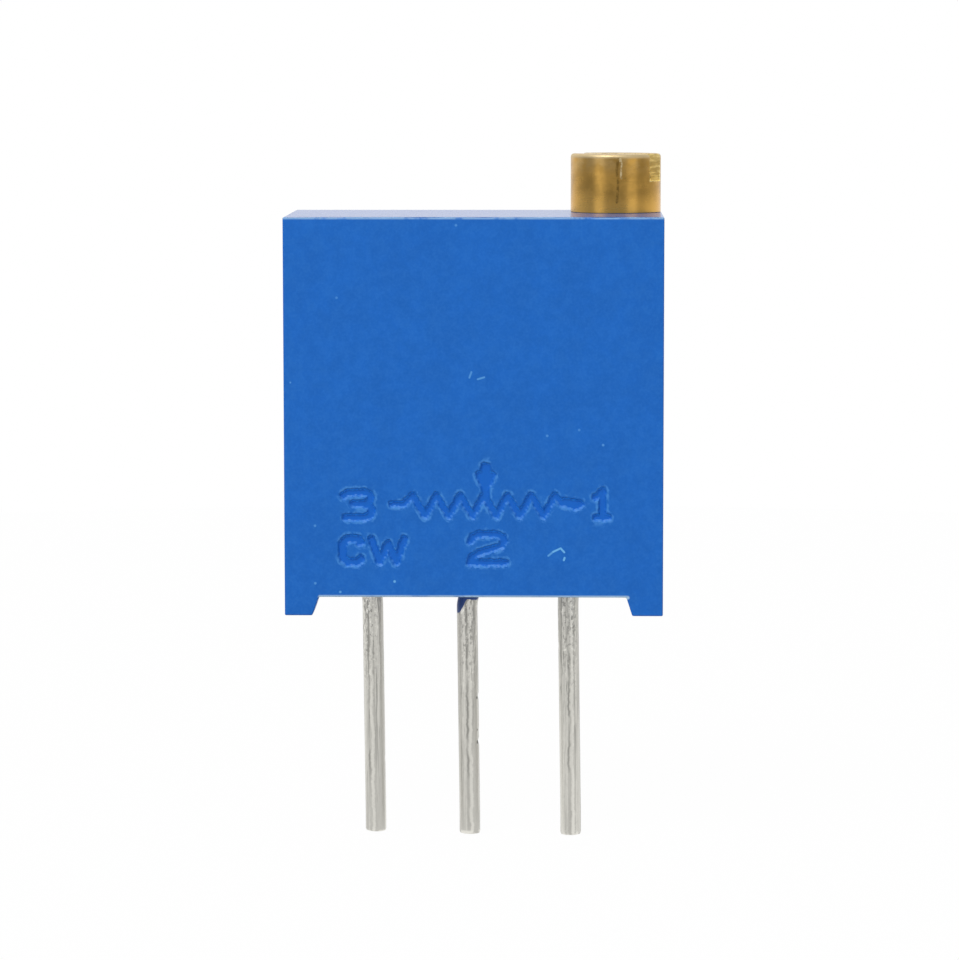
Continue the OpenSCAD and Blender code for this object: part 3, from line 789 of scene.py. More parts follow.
def finish(name):
    """The finish of that name, made once with the colour that its group holds."""
    if name not in _finishes:
        scene = bpy.context.scene
        screw, wheel, element = scene.trimmer_screw, scene.trimmer_wheel, scene.trimmer_element
        _finishes[name] = {
            "plastic": lambda: moulded_plastic(scene.trimmer_housing.plastic),
            "brass": lambda: turned_brass(screw.brass),
            "rubber": lambda: seal_rubber(screw.rubber),
            "steel": lambda: spring_steel(screw.steel),
            "nylon": lambda: nylon(wheel.nylon),
            "spring": lambda: spring_sheet(wheel.spring),
            "tin": lambda: tinned_wire(element.tin),
            "solder": lambda: solder_metal(element.solder),
            "alumina": lambda: alumina(element.alumina),
            "silver": lambda: fired_film("fired_conductor", element.silver, 1.0, 0.004),
            "cermet": lambda: fired_film("fired_cermet", element.cermet, 0.0, 0.003),
            "epoxy": lambda: potting_epoxy(element.epoxy),
        }[name]()
    return _finishes[name]


# ----------------------------------------------------------------------------- marks on the front

# line drawings in a square from (0, 0) to (1, 1)
SIGNS = {
    "1": [[(0.05, 0.76), (0.32, 0.82), (0.58, 1.0), (0.58, 0.0)], [(0.1, 0.0), (1.0, 0.0)]],
    "2": [[(0.02, 0.76), (0.08, 0.91), (0.24, 1.0), (0.75, 1.0), (0.93, 0.91), (0.97, 0.75), (0.89, 0.60),
           (0.70, 0.51), (0.26, 0.36), (0.06, 0.20), (0.0, 0.0), (1.0, 0.0)]],
    "3": [[(0.02, 0.86), (0.14, 0.97), (0.72, 1.0), (0.92, 0.92), (0.96, 0.76), (0.88, 0.60), (0.70, 0.54),
           (0.36, 0.54)],
          [(0.70, 0.54), (0.93, 0.45), (1.0, 0.27), (0.94, 0.08), (0.74, 0.0), (0.10, 0.0)]],
    "C": [[(1.0, 0.84), (0.84, 1.0), (0.28, 1.0), (0.07, 0.88), (0.0, 0.70), (0.0, 0.30), (0.07, 0.12),
           (0.28, 0.0), (0.84, 0.0), (1.0, 0.14)]],
    "W": [[(0.0, 1.0), (0.24, 0.0), (0.5, 0.80), (0.76, 0.0), (1.0, 1.0)]],
}


def front_marks():
    """The lines moulded into the marked face: terminal numbers, turning sense and the symbol of a
    variable resistor. Each is (points as (x, z), extra half width), in millimetres."""
    lines = []
    for sign, x0, x1, z0, z1, extra in (
        ("3", -3.13, -2.41, 2.49, 3.13, 0.015),
        ("1", 3.20, 3.52, 2.50, 3.18, 0.010),
        ("2", 0.06, 0.94, 1.35, 2.07, 0.010),
        ("C", -3.15, -2.70, 1.36, 1.95, 0.025),
        ("W", -2.42, -1.60, 1.36, 1.95, 0.010),
    ):
        for path in SIGNS[sign]:
            lines.append(([(x0 + (x1 - x0) * u, z0 + (z1 - z0) * v) for u, v in path], extra))
    step = 0.595
    zigzag = [(-1.90, 2.83), (-1.60, 2.83)]
    for k in range(7):
        zigzag.append((-1.38 + step * k, 3.06))
        if k < 6:
            zigzag.append((-1.38 + step * (k + 0.52), 2.53))
    lines.append((zigzag + [(2.36, 2.84), (2.46, 2.84)], 0.0))
    # the flattened end of the zigzag
    lines.append(([(2.44, 2.91), (2.84, 2.84), (2.70, 2.77), (2.46, 2.85)], 0.015))
    # the wiper's arrow, which points down to the middle of the resistor
    lines.append(([(0.45, 3.76), (0.45, 3.55)], 0.05))
    lines.append(([(0.31, 3.56), (0.45, 3.25), (0.59, 3.56), (0.31, 3.56)], 0.03))
    lines.append(([(0.45, 3.40), (0.45, 2.98)], 0.02))
    return lines


def mark_reach(points, lines, floor):
    """Distance of each (x, z) point from the floor of the nearest mark."""
    near = np.full(len(points), 9.0)
    for path, extra in lines:
        for a, b in zip(path, path[1:]):
            a, along = np.array(a), np.array(b) - np.array(a)
            share = np.clip((points - a) @ along / (along @ along), 0, 1)
            gap = np.linalg.norm(points - a - share[:, None] * along, axis=1)
            near = np.minimum(near, gap - floor - extra)
    return near


def mould_marks(obj, y, depth, floor, slope):
    """Presses the marks into the face at y: the face is divided finely round them and let in."""
    lines = front_marks()
    edit(obj)
    columns, rows = [-3.60 + 1.5 * k for k in range(6)], [1.05, 2.55, 4.05]
    on_face = lambda c, f: abs(c.y - y) < 1e-4 and f.normal.y < -0.99
    for x in columns:
        pick("FACE", on_face)
        bpy.ops.mesh.bisect(plane_co=(x, 0, 0), plane_no=(1, 0, 0))
    for z in rows:
        pick("FACE", on_face)
        bpy.ops.mesh.bisect(plane_co=(0, 0, z), plane_no=(0, 0, 1))
    inside = lambda c, f: (on_face(c, f) and columns[0] < c.x < columns[-1] and rows[0] < c.z < rows[-1])
    pick("FACE", inside)
    bpy.ops.mesh.subdivide(number_cuts=14)
    reach = lambda points: mark_reach(np.array(points), lines, floor)
    pick("FACE", lambda c, f: inside(c, f) and reach([(c.x, c.z)])[0] < slope + 0.08)
    bpy.ops.mesh.subdivide(number_cuts=3)
    done()
    place = np.empty(len(obj.data.vertices) * 3)
    obj.data.vertices.foreach_get("co", place)
    place = place.reshape(-1, 3)
    chosen = np.flatnonzero((abs(place[:, 1] - y) < 1e-4) & (place[:, 2] < rows[-1] + 0.1))
    points = place[chosen][:, [0, 2]]
    x, z = points.T
    # the marks' edges wander a little
    wander = 0.006 * (np.sin(29 * x + 13 * z) + np.sin(37 * z - 21 * x) + np.sin(53 * x + 47 * z))
    away = reach(points) + wander
    rim = obj.data.attributes.new(RIM, "FLOAT", "POINT")
    for index, gap in zip(chosen.tolist(), away.tolist()):
        rim.data[index].value = max(0.0, 1 - abs(gap - slope - 0.018) / 0.042)
    share = 1 - np.clip(away / slope, 0, 1)
    share = share * share * (3 - 2 * share)
    group = obj.vertex_groups.new(name="marks")
    for index, weight in zip(chosen.tolist(), share.tolist()):
        if weight > 0:
            group.add([index], weight, "REPLACE")
    modify(obj, "DISPLACE", direction="Y", strength=depth, mid_level=0.0, vertex_group="marks")
    obj.vertex_groups.clear()
    return obj


def wave_edge(obj, y, top):
    """Lets the edge between the marked face and the top run a little unevenly, as moulded."""
    edit(obj)
    pick("FACE", lambda c, f: f.normal.z > 0.99 and c.z > top - 0.01)
    step = 0.16
    bpy.ops.mesh.bisect(plane_co=(0, y + step, 0), plane_no=(0, 1, 0))
    for k in range(1, 60):
        pick("FACE", lambda c, f: f.normal.y < -0.1 and f.normal.z > 0.1 and c.z > top - 0.1)
        bpy.ops.mesh.bisect(plane_co=(cad_low[0] * MM + step * k, 0, 0), plane_no=(1, 0, 0))
    done()
    for point in obj.data.vertices:
        if point.co.z > top - 0.08 and point.co.y < y + 0.08:
            wide = noise.noise(Vector((1.3 * point.co.x, 5.0, 0.0)))
            narrow = noise.noise(Vector((4.5 * point.co.x, 9.0, 0.0)))
            sunk = max(0.0, 0.3 + wide + 0.6 * narrow)
            if point.co.y < y + 0.07:
                point.co.z -= 0.016 * sunk
            point.co.y += 0.012 * sunk
    return obj


# ----------------------------------------------------------------------------------------- pieces


class TRIMMER_OT_housing(Operator):
    """Moulds the housing: the box with its four feet, the room for the works and the marks"""

    bl_idname = "trimmer.housing"
    bl_label = "Housing"

    def execute(self, context):
        s = context.scene.trimmer_housing
        (x0, y0, z0), (x1, y1, top) = corners("housing")
        foot, root, tip = MM * s.foot_height, MM * s.foot_root, MM * s.foot_tip
        long = MM * s.foot_length
        body = block("housing_moulded", (x0, y0, z0 + foot), (x1, y1, top))
        edit(body)
        thin = 0.03  # the left feet are a little narrower than the right ones
        for place, way in (((x0 + root - thin, 0, 0), (1, 0, 0)), ((x1 - root - thin, 0, 0), (1, 0, 0)),
                           ((0, y0 + long, 0), (0, 1, 0)), ((0, y1 - long, 0), (0, 1, 0))):
            bpy.ops.mesh.select_all(action="SELECT")
            bpy.ops.mesh.bisect(plane_co=place, plane_no=way)
        middle = (x0 + x1) / 2
        at_corner = lambda c: not x0 + root - thin < c.x < x1 - root - thin and abs(c.y) > y1 - long
        pick("FACE", lambda c, f: f.normal.z < -0.9 and at_corner(c))
        extrude(z=-foot)
        pick("VERT", lambda c, v: c.z < z0 + 0.01 and x0 + root - thin - 0.01 < c.x < middle)
        move(x=tip - root - thin / 2)
        pick("VERT", lambda c, v: c.z < z0 + 0.01 and middle < c.x < x1 - root - thin + 0.01)
        move(x=root - tip)
        bpy.ops.mesh.select_all(action="SELECT")
        bpy.ops.mesh.dissolve_limited(angle_limit=0.01)
        done()
        round_edges(body, MM * s.edge_round, 3)

        # the core that leaves room for the works, with its posts, guides, stop, pad and bearing cut away
        side, ceiling = MM * s.side_wall, top - MM * s.top_wall
        left, right = x0 + side, x1 - side
        front, back = y0 + MM * s.front_wall, y1 - MM * s.back_wall
        core = block("core", (left, front, z0 - 1), (right, back, ceiling))
        edit(core)
        pick("EDGE", lambda c, e: c.z > ceiling - 0.01)
        bpy.ops.mesh.bevel(offset=0.12, segments=3)
        done()
        screw = joint_place("screw_turn")
        wheel = joint_place("wheel_turn")
        _, (_, ceramic_back, ceramic_top) = corners("ceramic_substrate")
        (_, ceramic_front, ceramic_low), _ = corners("ceramic_substrate")
        seal_top = corners("epoxy_seal")[1][2]
        posts = []
        for a, b in ((left - 1, x0 + root), (x1 - root, right + 1)):
            posts.append(block("post", (a, front - 1, z0 - 2), (b, y0 + long, z0 + foot + 2.2)))
            posts.append(block("post", (a, y1 - long, z0 - 2), (b, back + 1, z0 + foot + 2.2)))
        guides = []
        for a, b in ((left + 0.4, left + 0.9), (right - 0.9, right - 0.4)):
            guides.append(block("guide", (a, front - 1, ceramic_low + 0.3), (b, ceramic_front, top)))
        clip_low = corners("screw_retainer")[0][2]
        for a, b in ((left - 1, left + 0.3), (right - 0.3, right + 1)):
            guides.append(block("guide", (a, ceramic_back, seal_top + PADS_ABOVE_SEAL + 0.1),
                                (b, ceramic_back + 0.34, clip_low - 0.1)))
        stop = block("stop", (wheel[0] - 0.25, wheel[1] - 0.85, wheel[2] + 2.70),
                     (wheel[0] + 0.25, wheel[1] - 0.56, top))
        pad = block("pad", (wheel[0] - 0.9, back - 0.03, z0 + foot + 0.6),
                    (wheel[0] + 0.9, back + 1, wheel[2] + 0.9))
        low, high, r = z0 + foot + 0.3, seal_top + BEARING_ABOVE_SEAL, 0.75
        boss = bar("boss", r, low, high, screw)
        boss_side = block("boss", (screw[0], screw[1] - r, low), (right + 1, screw[1] + r, high))
        boss_back = block("boss", (screw[0] - r, screw[1], low), (right + 1, back + 1, high))
        cut(core, *posts, *guides, stop, pad, boss, boss_side, boss_back)
        journal, neck = 0.48, 0.93
        bores = turned("bores", [(0, high - 0.84), (journal, high - 0.84), (journal, high), (neck, high),
                                 (neck, top - 0.05), (neck + 0.05, top), (neck + 0.05, top + 1),
                                 (0, top + 1)], screw)
        cut(body, core, bores)
        mould_marks(body, y0, MM * s.mark_depth, MM * s.mark_floor, MM * s.mark_slope)
        wave_edge(body, y0, top)
        smooth(tidy_mesh(body), 30)
        settle(body, "housing", "body", finish("plastic"))
        return {"FINISHED"}


class TRIMMER_OT_screw(Operator):
    """Turns the adjusting screw: head with its slot, neck, collar, worm thread and journal"""

    bl_idname = "trimmer.screw"
    bl_label = "Adjusting screw"

    def execute(self, context):
        s = context.scene.trimmer_screw
        w = context.scene.trimmer_wheel
        (x0, _, low), (x1, _, top) = corners("adjusting_screw")
        centre = joint_place("screw_turn")
        middle = joint_place("wheel_turn")[2]
        head = (x1 - x0) / 2
        body_top = corners("housing")[1][2]
        clip_low, clip_top = (c[2] for c in corners("screw_retainer"))
        ring_low, ring_top = (c[2] for c in corners("screw_seal_ring"))
        rim = MM * s.head_round
        worm, module = MM * s.worm_radius, MM * w.module
        core = worm - 1.2 * module
        boss_top = corners("epoxy_seal")[1][2] + BEARING_ABOVE_SEAL
        profile = [
            # lower journal
            (0, low), (0.36, low), (0.41, low + 0.03), (0.44, low + 0.08), (0.44, boss_top + 0.05),
            # core of the worm
            (core, boss_top + 0.07), (core, clip_low - 0.33),
            # collar and the groove for the clip
            (0.81, clip_low - 0.33), (0.83, clip_low - 0.31), (0.83, clip_low - 0.05),
            (0.81, clip_low - 0.03), (0.47, clip_low - 0.03), (0.47, clip_top + 0.03),
            # neck with the groove for the seal ring
            (0.86, clip_top + 0.03), (0.88, clip_top + 0.05), (0.88, ring_low - 0.08),
            (0.86, ring_low - 0.06), (0.52, ring_low - 0.06), (0.52, ring_top + 0.06),
            (0.86, ring_top + 0.06), (0.88, ring_top + 0.08), (0.88, body_top + 0.005),
            # head with its rounded rim
            (head - 0.006, body_top + 0.005), (head, body_top + 0.011),
            (head, top - rim), (head - 0.15 * rim, top - 0.45 * rim),
            (head - 0.5 * rim, top - 0.12 * rim), (head - rim, top), (0, top),
        ]
        screw = turned("screw_turned", profile, centre, steps=112)
        wide, deep = MM * s.slot_width, MM * s.slot_depth
        slot = block("slot", (-3, -wide / 2, -deep), (3, wide / 2, 1))
        edit(slot)
        pick("EDGE", lambda c, e: c.z < 0 and abs(e.verts[0].co.x - e.verts[1].co.x) > 1)
        bpy.ops.mesh.bevel(offset=0.03, segments=2)
        done()
        slot.rotation_euler.z = s.slot_angle
        slot.location = (centre[0], centre[1], top)
        cut(screw, apply_place(slot))
        edit(screw)
        pick("EDGE", lambda c, e: c.z > top - deep + 0.1 and len(e.link_faces) == 2
             and e.calc_face_angle(0) > math.radians(60))
        bpy.ops.mesh.bevel(offset=0.018, segments=2)
        done()

        # one-start right-hand thread with its middle turn towards the wheel
        pitch = math.pi * module
        lean = math.tan(math.radians(PRESSURE_ANGLE))
        slack = 0.040  # what the thread lacks of half a pitch
        half = (pitch / 2 - slack) / 2
        crest = worm + module
        at = lambda r: half + (worm - r) * lean
        root, soft = core - 0.07, 0.02
        start = middle - pitch * s.worm_turns / 2
        section = [(root, -at(root)), (crest - soft, -at(crest - soft)), (crest, -at(crest) + soft),
                   (crest, at(crest) - soft), (crest - soft, at(crest - soft)), (root, at(root))]
        thread = line("thread", [(r, 0, start + h) for r, h in section] + [(root, 0, start - at(root))])
        bpy.ops.mesh.remove_doubles(threshold=0.001)
        done()
        modify(thread, "SCREW", angle=2 * math.pi, screw_offset=pitch, iterations=s.worm_turns, steps=64,
               render_steps=64, axis="Z", use_merge_vertices=True, merge_threshold=0.001)
        edit(thread)
        bpy.ops.mesh.select_mode(type="EDGE")
        bpy.ops.mesh.select_all(action="DESELECT")
        bpy.ops.mesh.select_non_manifold()
        bpy.ops.mesh.fill_holes(sides=0)
        done()
        # the thread runs out over half a turn at both ends
        low_end, high_end = start, start + pitch * s.worm_turns
        for point in thread.data.vertices:
            r = math.hypot(point.co.x, point.co.y)
            turn = math.atan2(point.co.y, point.co.x) / (2 * math.pi) % 1.0
            height = (point.co.z - start) / pitch
            along = round(height - turn) + turn
            share = min(1.0, (along + 0.02) * 2, (s.worm_turns - along + 0.02) * 2)
            if r > core and share < 1:
                keep = (core - 0.03 + (r - core + 0.03) * max(share, 0.05)) / r
                point.co.x *= keep
                point.co.y *= keep
        thread.location = (centre[0], centre[1], 0)
        join(screw, outward(apply_place(thread)))
        # a nick from a tool on the head's side
        nick = block("nick", (-0.018, -0.03, -0.24), (0.022, 0.03, 0.22))
        edit(nick)
        pick("VERT", lambda c, v: c.z < 0)
        move(x=-0.05)
        done()
        nick.location = (centre[0] + 0.11, centre[1] - head + 0.002, top - 0.40)
        cut(screw, apply_place(nick))
        smooth(tidy_mesh(screw), 35)
        settle(screw, "adjusting_screw", "screw", finish("brass"))
        return {"FINISHED"}


class TRIMMER_OT_seal_ring(Operator):
    """Makes the rubber ring round the screw's neck"""

    bl_idname = "trimmer.seal_ring"
    bl_label = "Seal ring"

    def execute(self, context):
        (x0, _, z0), (x1, _, z1) = corners("screw_seal_ring")
        centre = joint_place("screw_turn")
        middle = (centre[0], centre[1], (z0 + z1) / 2)
        thick, outer = (z1 - z0) / 2, (x1 - x0) / 2
        bpy.ops.object.select_all(action="DESELECT")
        bpy.ops.mesh.primitive_torus_add(location=middle, major_segments=112, minor_segments=32,
                                         major_radius=outer - thick, minor_radius=thick)
        ring = bpy.context.object
        ring.name = "seal_ring_rubber"
        apply_place(ring)
        # it is pressed flat where it meets the bore, and shows the seam of its mould inside
        edit(ring)
        away = lambda c: math.hypot(c.x - centre[0], c.y - centre[1])
        pick("VERT", lambda c, v: away(c) > outer - 0.012)
        bpy.ops.transform.resize(value=(1, 1, 1.5), center_override=middle)
        pick("EDGE", lambda c, e: away(c) < outer - 2 * thick + 0.001
             and abs(e.verts[0].co.z - e.verts[1].co.z) < 1e-4)
        bpy.ops.mesh.bevel(offset=0.008, segments=1)
        bpy.ops.transform.resize(value=(0.992, 0.992, 1), center_override=(centre[0], centre[1], 0))
        outward(ring)
        smooth(ring, 50)
        settle(ring, "screw_seal_ring", "body", finish("rubber"))
        return {"FINISHED"}


class TRIMMER_OT_retainer(Operator):
    """Stamps the U-shaped clip that holds the screw under the top wall"""

    bl_idname = "trimmer.retainer"
    bl_label = "Retainer"

    def execute(self, context):
        (x0, y0, z0), (x1, y1, z1) = corners("screw_retainer")
        cx, cy, _ = joint_place("screw_turn")
        slit = 0.50
        bend = [(cx + slit * math.cos(a), cy + slit * math.sin(a), z0)
                for a in (math.radians(-90 - 180 * k / 32) for k in range(33))]
        soft = 0.08
        outline = [(x1, y0 + soft, z0), (x1, cy - slit - 0.03, z0), (x1 - 0.03, cy - slit, z0), *bend,
                   (x1 - 0.03, cy + slit, z0), (x1, cy + slit + 0.03, z0), (x1, y1 - soft, z0),
                   (x1 - soft, y1, z0), (x0 + soft, y1, z0), (x0 + 0.3 * soft, y1 - 0.3 * soft, z0),
                   (x0, y1 - soft, z0), (x0, y0 + soft, z0), (x0 + 0.3 * soft, y0 + 0.3 * soft, z0),
                   (x0 + soft, y0, z0), (x1 - soft, y0, z0)]
        clip = plate("retainer_stamped", outline, (0, 0, z1 - z0))
        round_edges(clip, 0.02, 2, 50)
        smooth(clip)
        settle(clip, "screw_retainer", "body", finish("steel"))
        return {"FINISHED"}


def arc_band(name, centre, radii, depths, first, last, steps):
    """Part of a flat ring about an axis along Y. Angles are from -Z towards +X, in degrees."""
    cx, _, cz = centre
    a = math.radians(first)
    spots = [(radii[0], depths[0]), (radii[1], depths[0]), (radii[1], depths[1]), (radii[0], depths[1])]
    band = line(name, [(cx + r * math.sin(a), y, cz - r * math.cos(a)) for r, y in spots])
    bpy.ops.mesh.edge_face_add()
    bpy.ops.mesh.spin(steps=steps, angle=math.radians(last - first), center=centre, axis=(0, 1, 0))
    return outward(band)


def soften(path, times=2):
    """Cuts the corners of a line of points, so that its bends become round."""
    path = [Vector(p) for p in path]
    for _ in range(times):
        cut_path = [path[0]]
        for a, b in zip(path, path[1:]):
            cut_path += [a.lerp(b, 0.25), a.lerp(b, 0.75)]
        path = cut_path + [path[-1]]
    return path


class TRIMMER_OT_rotor(Operator):
    """Moulds the worm wheel: teeth, web, hub, pivot, stop lug and the two pegs"""

    bl_idname = "trimmer.rotor"
    bl_label = "Worm wheel"

    def execute(self, context):
        s = context.scene.trimmer_wheel
        worm = MM * context.scene.trimmer_screw.worm_radius
        centre = joint_place("wheel_turn")
        (_, pivot_end, _), (_, hub_end, _) = corners("rotor")
        sheet_front = corners("wiper_contact")[1][1] - 0.06
        module, teeth = MM * s.module, s.teeth
        pitch_radius = module * teeth / 2
        tip, root = pitch_radius + module, pitch_radius - 1.2 * module
        pressure = math.radians(PRESSURE_ANGLE)
        base = pitch_radius * math.cos(pressure)
        slack = 0.050  # what a tooth lacks of half a pitch
        half = (math.pi * module / 2 - slack) / 2 / pitch_radius
        involute = lambda a: math.tan(a) - a
        wide = lambda r: half + involute(pressure) - (involute(math.acos(base / r)) if r > base else 0)
        share = math.pi / teeth
        side = [(root, wide(base) + 0.006), (root + 0.01, wide(base) + 0.001)]
        side += [(r, wide(r)) for r in (base + 0.25 * (tip - base), pitch_radius, (pitch_radius + tip) / 2,
                                        tip - 0.02)]
        side += [(tip, wide(tip) - 0.006)]
        tooth = [(root, -share), (root, -(share + wide(base)) / 2)] + [(r, -a) for r, a in side]
        tooth += [(r, a) for r, a in reversed(side)] + [(root, (share + wide(base)) / 2), (root, share)]
        near, far = centre[1] - 0.5, centre[1] + 0.5
        wheel = line("rotor_moulded", [(centre[0] + r * math.cos(share + a), near,
                                        centre[2] - r * math.sin(share + a)) for r, a in tooth])
        bpy.ops.mesh.spin(steps=teeth - 1, angle=2 * math.pi * (teeth - 1) / teeth, center=centre,
                          axis=(0, 1, 0), dupli=True)
        bpy.ops.mesh.select_all(action="SELECT")
        bpy.ops.mesh.remove_doubles(threshold=0.0004)
        bpy.ops.mesh.edge_face_add()
        # the teeth lie along the thread, so the blank turns a little from one face to the other
        lead = math.atan(module / (2 * worm))
        twist = math.tan(lead) * (far - near) / pitch_radius
        bpy.ops.transform.rotate(value=twist / 2, orient_axis="Y", center_override=centre)
        for _ in range(5):
            extrude(y=(far - near) / 5)
            bpy.ops.transform.rotate(value=-twist / 5, orient_axis="Y", center_override=centre)
        outward(wheel)
        hub, rim = 1.5, root - 0.5
        for a, b in ((near - 1, near + 0.2), (near + 0.85, far + 1)):
            cut(wheel, turned_ring("recess", [(hub - 0.02, a), (rim, a), (rim, b - 0.04 * (b < far)),
                                              (rim - 0.03, b), (hub - 0.02, b)], centre, "Y", 120))
        join(wheel, turned("hub", [(0, pivot_end), (0.42, pivot_end), (0.46, pivot_end + 0.04),
                                   (0.46, near - 0.2), (hub - 0.03, near - 0.2), (hub, near - 0.17),
                                   (hub, hub_end - 0.03), (hub - 0.03, hub_end), (0.32, hub_end),
                                   (0.28, hub_end - 0.06), (0, hub_end - 0.06)], centre, "Y", 112))
        reach = 48.7  # half of the stop lug's arc, which leaves the wheel 125 degrees each way
        lug = arc_band("lug", centre, (2.72, 3.0), (near - 0.3, near + 0.1), -reach, reach, 48)
        join(wheel, round_edges(lug, 0.025, 2))
        for x, z in PEGS:
            at = (centre[0] + x, 0, centre[2] + z)
            join(wheel, turned("peg", [(0, sheet_front - 0.07), (0.13, sheet_front - 0.07),
                                       (0.19, sheet_front - 0.05), (0.21, sheet_front - 0.02),
                                       (0.21, sheet_front), (0.13, sheet_front), (0.13, near - 0.1),
                                       (0, near - 0.1)], at, "Y", 40))
        smooth(tidy_mesh(wheel), 35)
        settle(wheel, "rotor", "wheel", finish("nylon"))
        return {"FINISHED"}


def finger(name, path, thick, width, along):
    """A spring finger: a strip along a bent path, drawn as its edge and extruded by its width."""
    path = soften(path)
    way = Vector(along)
    edge = path + [p + Vector((0, thick, 0)) for p in reversed(path)]
    return plate(name, [p - way * width / 2 for p in edge], way * width)


class TRIMMER_OT_wiper(Operator):
    """Stamps and bends the wiper contact: the sheet, four fingers on the track and two on the ring"""

    bl_idname = "trimmer.wiper"
    bl_label = "Wiper contact"

    def execute(self, context):
        back = corners("wiper_contact")[1][1]
        film_back = corners("resistive_track")[1][1]
        cx, _, cz = centre = joint_place("wheel_turn")
        front = back - 0.06
        touch = film_back + 0.015
        drop = front - touch
        root = front + 0.003
        disc, stem = 1.42, 0.28
        first = math.degrees(math.asin(stem / disc))
        outline = []
        for k in range(85):
            a = math.radians(first + (360 - 2 * first) * k / 84)
            outline.append((cx + disc * math.sin(a), front, cz + disc * math.cos(a)))
        outline += [(cx - stem, front, cz + 1.75), (cx + stem, front, cz + 1.75)]
        sheet = plate("wiper_stamped", outline, (0, back - front, 0))
        hole = bar("hole", 0.52, front - 1, back + 1, centre, "Y")
        slit = block("slit", (cx - 0.62, front - 1, cz - 1.17), (cx + 0.50, back + 1, cz - 0.73))
        edit(slit)
        pick("EDGE", lambda c, e: abs(e.verts[0].co.y - e.verts[1].co.y) > 1)
        bpy.ops.mesh.bevel(offset=0.06, segments=4)
        done()
        cut(sheet, hole, slit)
        for x, z in PEGS:
            cut(sheet, bar("hole", 0.14, front - 1, back + 1, (cx + x, 0, cz + z), "Y", 32))
        round_edges(sheet, 0.008, 1, 60)
        for k in range(4):
            x = cx + (k - 1.5) * 0.14
            path = [(x, root, cz + 1.60), (x, root, cz + 1.77), (x, touch, cz + 2.27),
                    (x, touch, cz + 2.41), (x, touch + 0.25 * drop, cz + 2.52)]
            join(sheet, finger("finger", path, 0.054, 0.11, (1, 0, 0)))
        for k in (-0.1, 0.1):
            z = cz - 0.95 + k
            path = [(cx + 0.62, root, z), (cx + 0.46, root, z), (cx - 0.12, touch, z),
                    (cx - 0.25, touch, z), (cx - 0.36, touch + 0.22 * drop, z)]
            join(sheet, finger("finger", path, 0.054, 0.15, (0, 0, 1)))
        smooth(tidy_mesh(sheet), 35)
        settle(sheet, "wiper_contact", "wheel", finish("spring"))
        return {"FINISHED"}


class TRIMMER_OT_ceramic(Operator):
    """Makes the ceramic plate with the hole for the wheel's pivot and its scribed edges"""

    bl_idname = "trimmer.ceramic"
    bl_label = "Ceramic plate"

    def execute(self, context):
        low, high = corners("ceramic_substrate")
        centre = joint_place("wheel_turn")
        ceramic = block("ceramic_fired", low, high)
        round_edges(ceramic, 0.02, 2)
        cut(ceramic, turned("hole", [(0, low[1] - 1), (0.53, low[1] - 1), (0.53, low[1]),
                                       (0.50, low[1] + 0.03), (0.50, high[1] + 1), (0, high[1] + 1)],
                              centre, "Y", 72))
        # the row of laser pits along which the plate was snapped off its sheet
        pits, top = [], high[2]
        pit = [(0, top - 0.10), (0.035, top - 0.02), (0.05, top + 0.2), (0, top + 0.2)]
        for k in range(28):
            x = low[0] + 0.16 + k * (high[0] - low[0] - 0.32) / 27
            pits.append(turned("pit", pit, (x, (low[1] + high[1]) / 2 - 0.2, 0), "Z", 10))
        only(pits[0])
        for other in pits:
            other.select_set(True)
        bpy.ops.object.join()
        cut(ceramic, pits[0])
        smooth(ceramic, 35)
        settle(ceramic, "ceramic_substrate", "body", finish("alumina"))
        return {"FINISHED"}


class TRIMMER_OT_films(Operator):
    """Prints the films: the resistive track, the collector ring with its pad and the two end conductors"""

    bl_idname = "trimmer.films"
    bl_label = "Films"

    def execute(self, context):
        cx, _, cz = centre = joint_place("wheel_turn")
        (_, front, _), (_, back, _) = corners("resistive_track")
        end = TRACK_END
        track = arc_band("track_fired", centre, TRACK_RADII, (front, back), end, 360 - end, 150)
        smooth(track)
        settle(track, "resistive_track", "body", finish("cermet"))

        pad_low = corners("end_conductor_1")[0][2]
        pad_high = corners("epoxy_seal")[1][2] + PADS_ABOVE_SEAL
        ring = [(0.7, front), (1.2, front), (1.2, back), (0.7, back)]
        ring = turned_ring("collector_fired", ring, centre, "Y")
        lead = [(cx - 0.2, cz - 0.95), (cx + 0.2, cz - 0.95), (0.45, pad_high), (0.45, pad_low + 0.05),
                (0.40, pad_low), (-0.40, pad_low), (-0.45, pad_low + 0.05), (-0.45, pad_high)]
        join(ring, plate("lead", [(x, front, z) for x, z in lead], (0, back - front, 0)))
        smooth(ring)
        settle(ring, "collector_track", "body", finish("silver"))

        for number, side in ((1, 1), (3, -1)):
            pad, _ = wire_place(number)

            def polar(r, a):
                a = math.radians(a)
                return cx + side * r * math.sin(a), cz - r * math.cos(a)

            wide, soft = side * 0.45, side * 0.40
            shape = [polar(2.0, end + 5), polar(2.3, end + 5.5), polar(2.6, end + 5), polar(2.6, end - 4),
                     (pad + wide, pad_high), (pad + wide, pad_low + 0.05), (pad + soft, pad_low),
                     (pad - soft, pad_low), (pad - wide, pad_low + 0.05), (pad - wide, pad_high),
                     polar(2.0, end - 4)]
            film = plate(f"end_conductor_{number}_fired", [(x, front, z) for x, z in shape],
                         (0, back - front, 0))
            gap = (front - 0.1, back + 0.1)
            cut(film, arc_band("gap", centre, TRACK_RADII, gap, end, 360 - end, 150))
            smooth(film)
            settle(film, f"end_conductor_{number}", "body", finish("silver"))
        return {"FINISHED"}


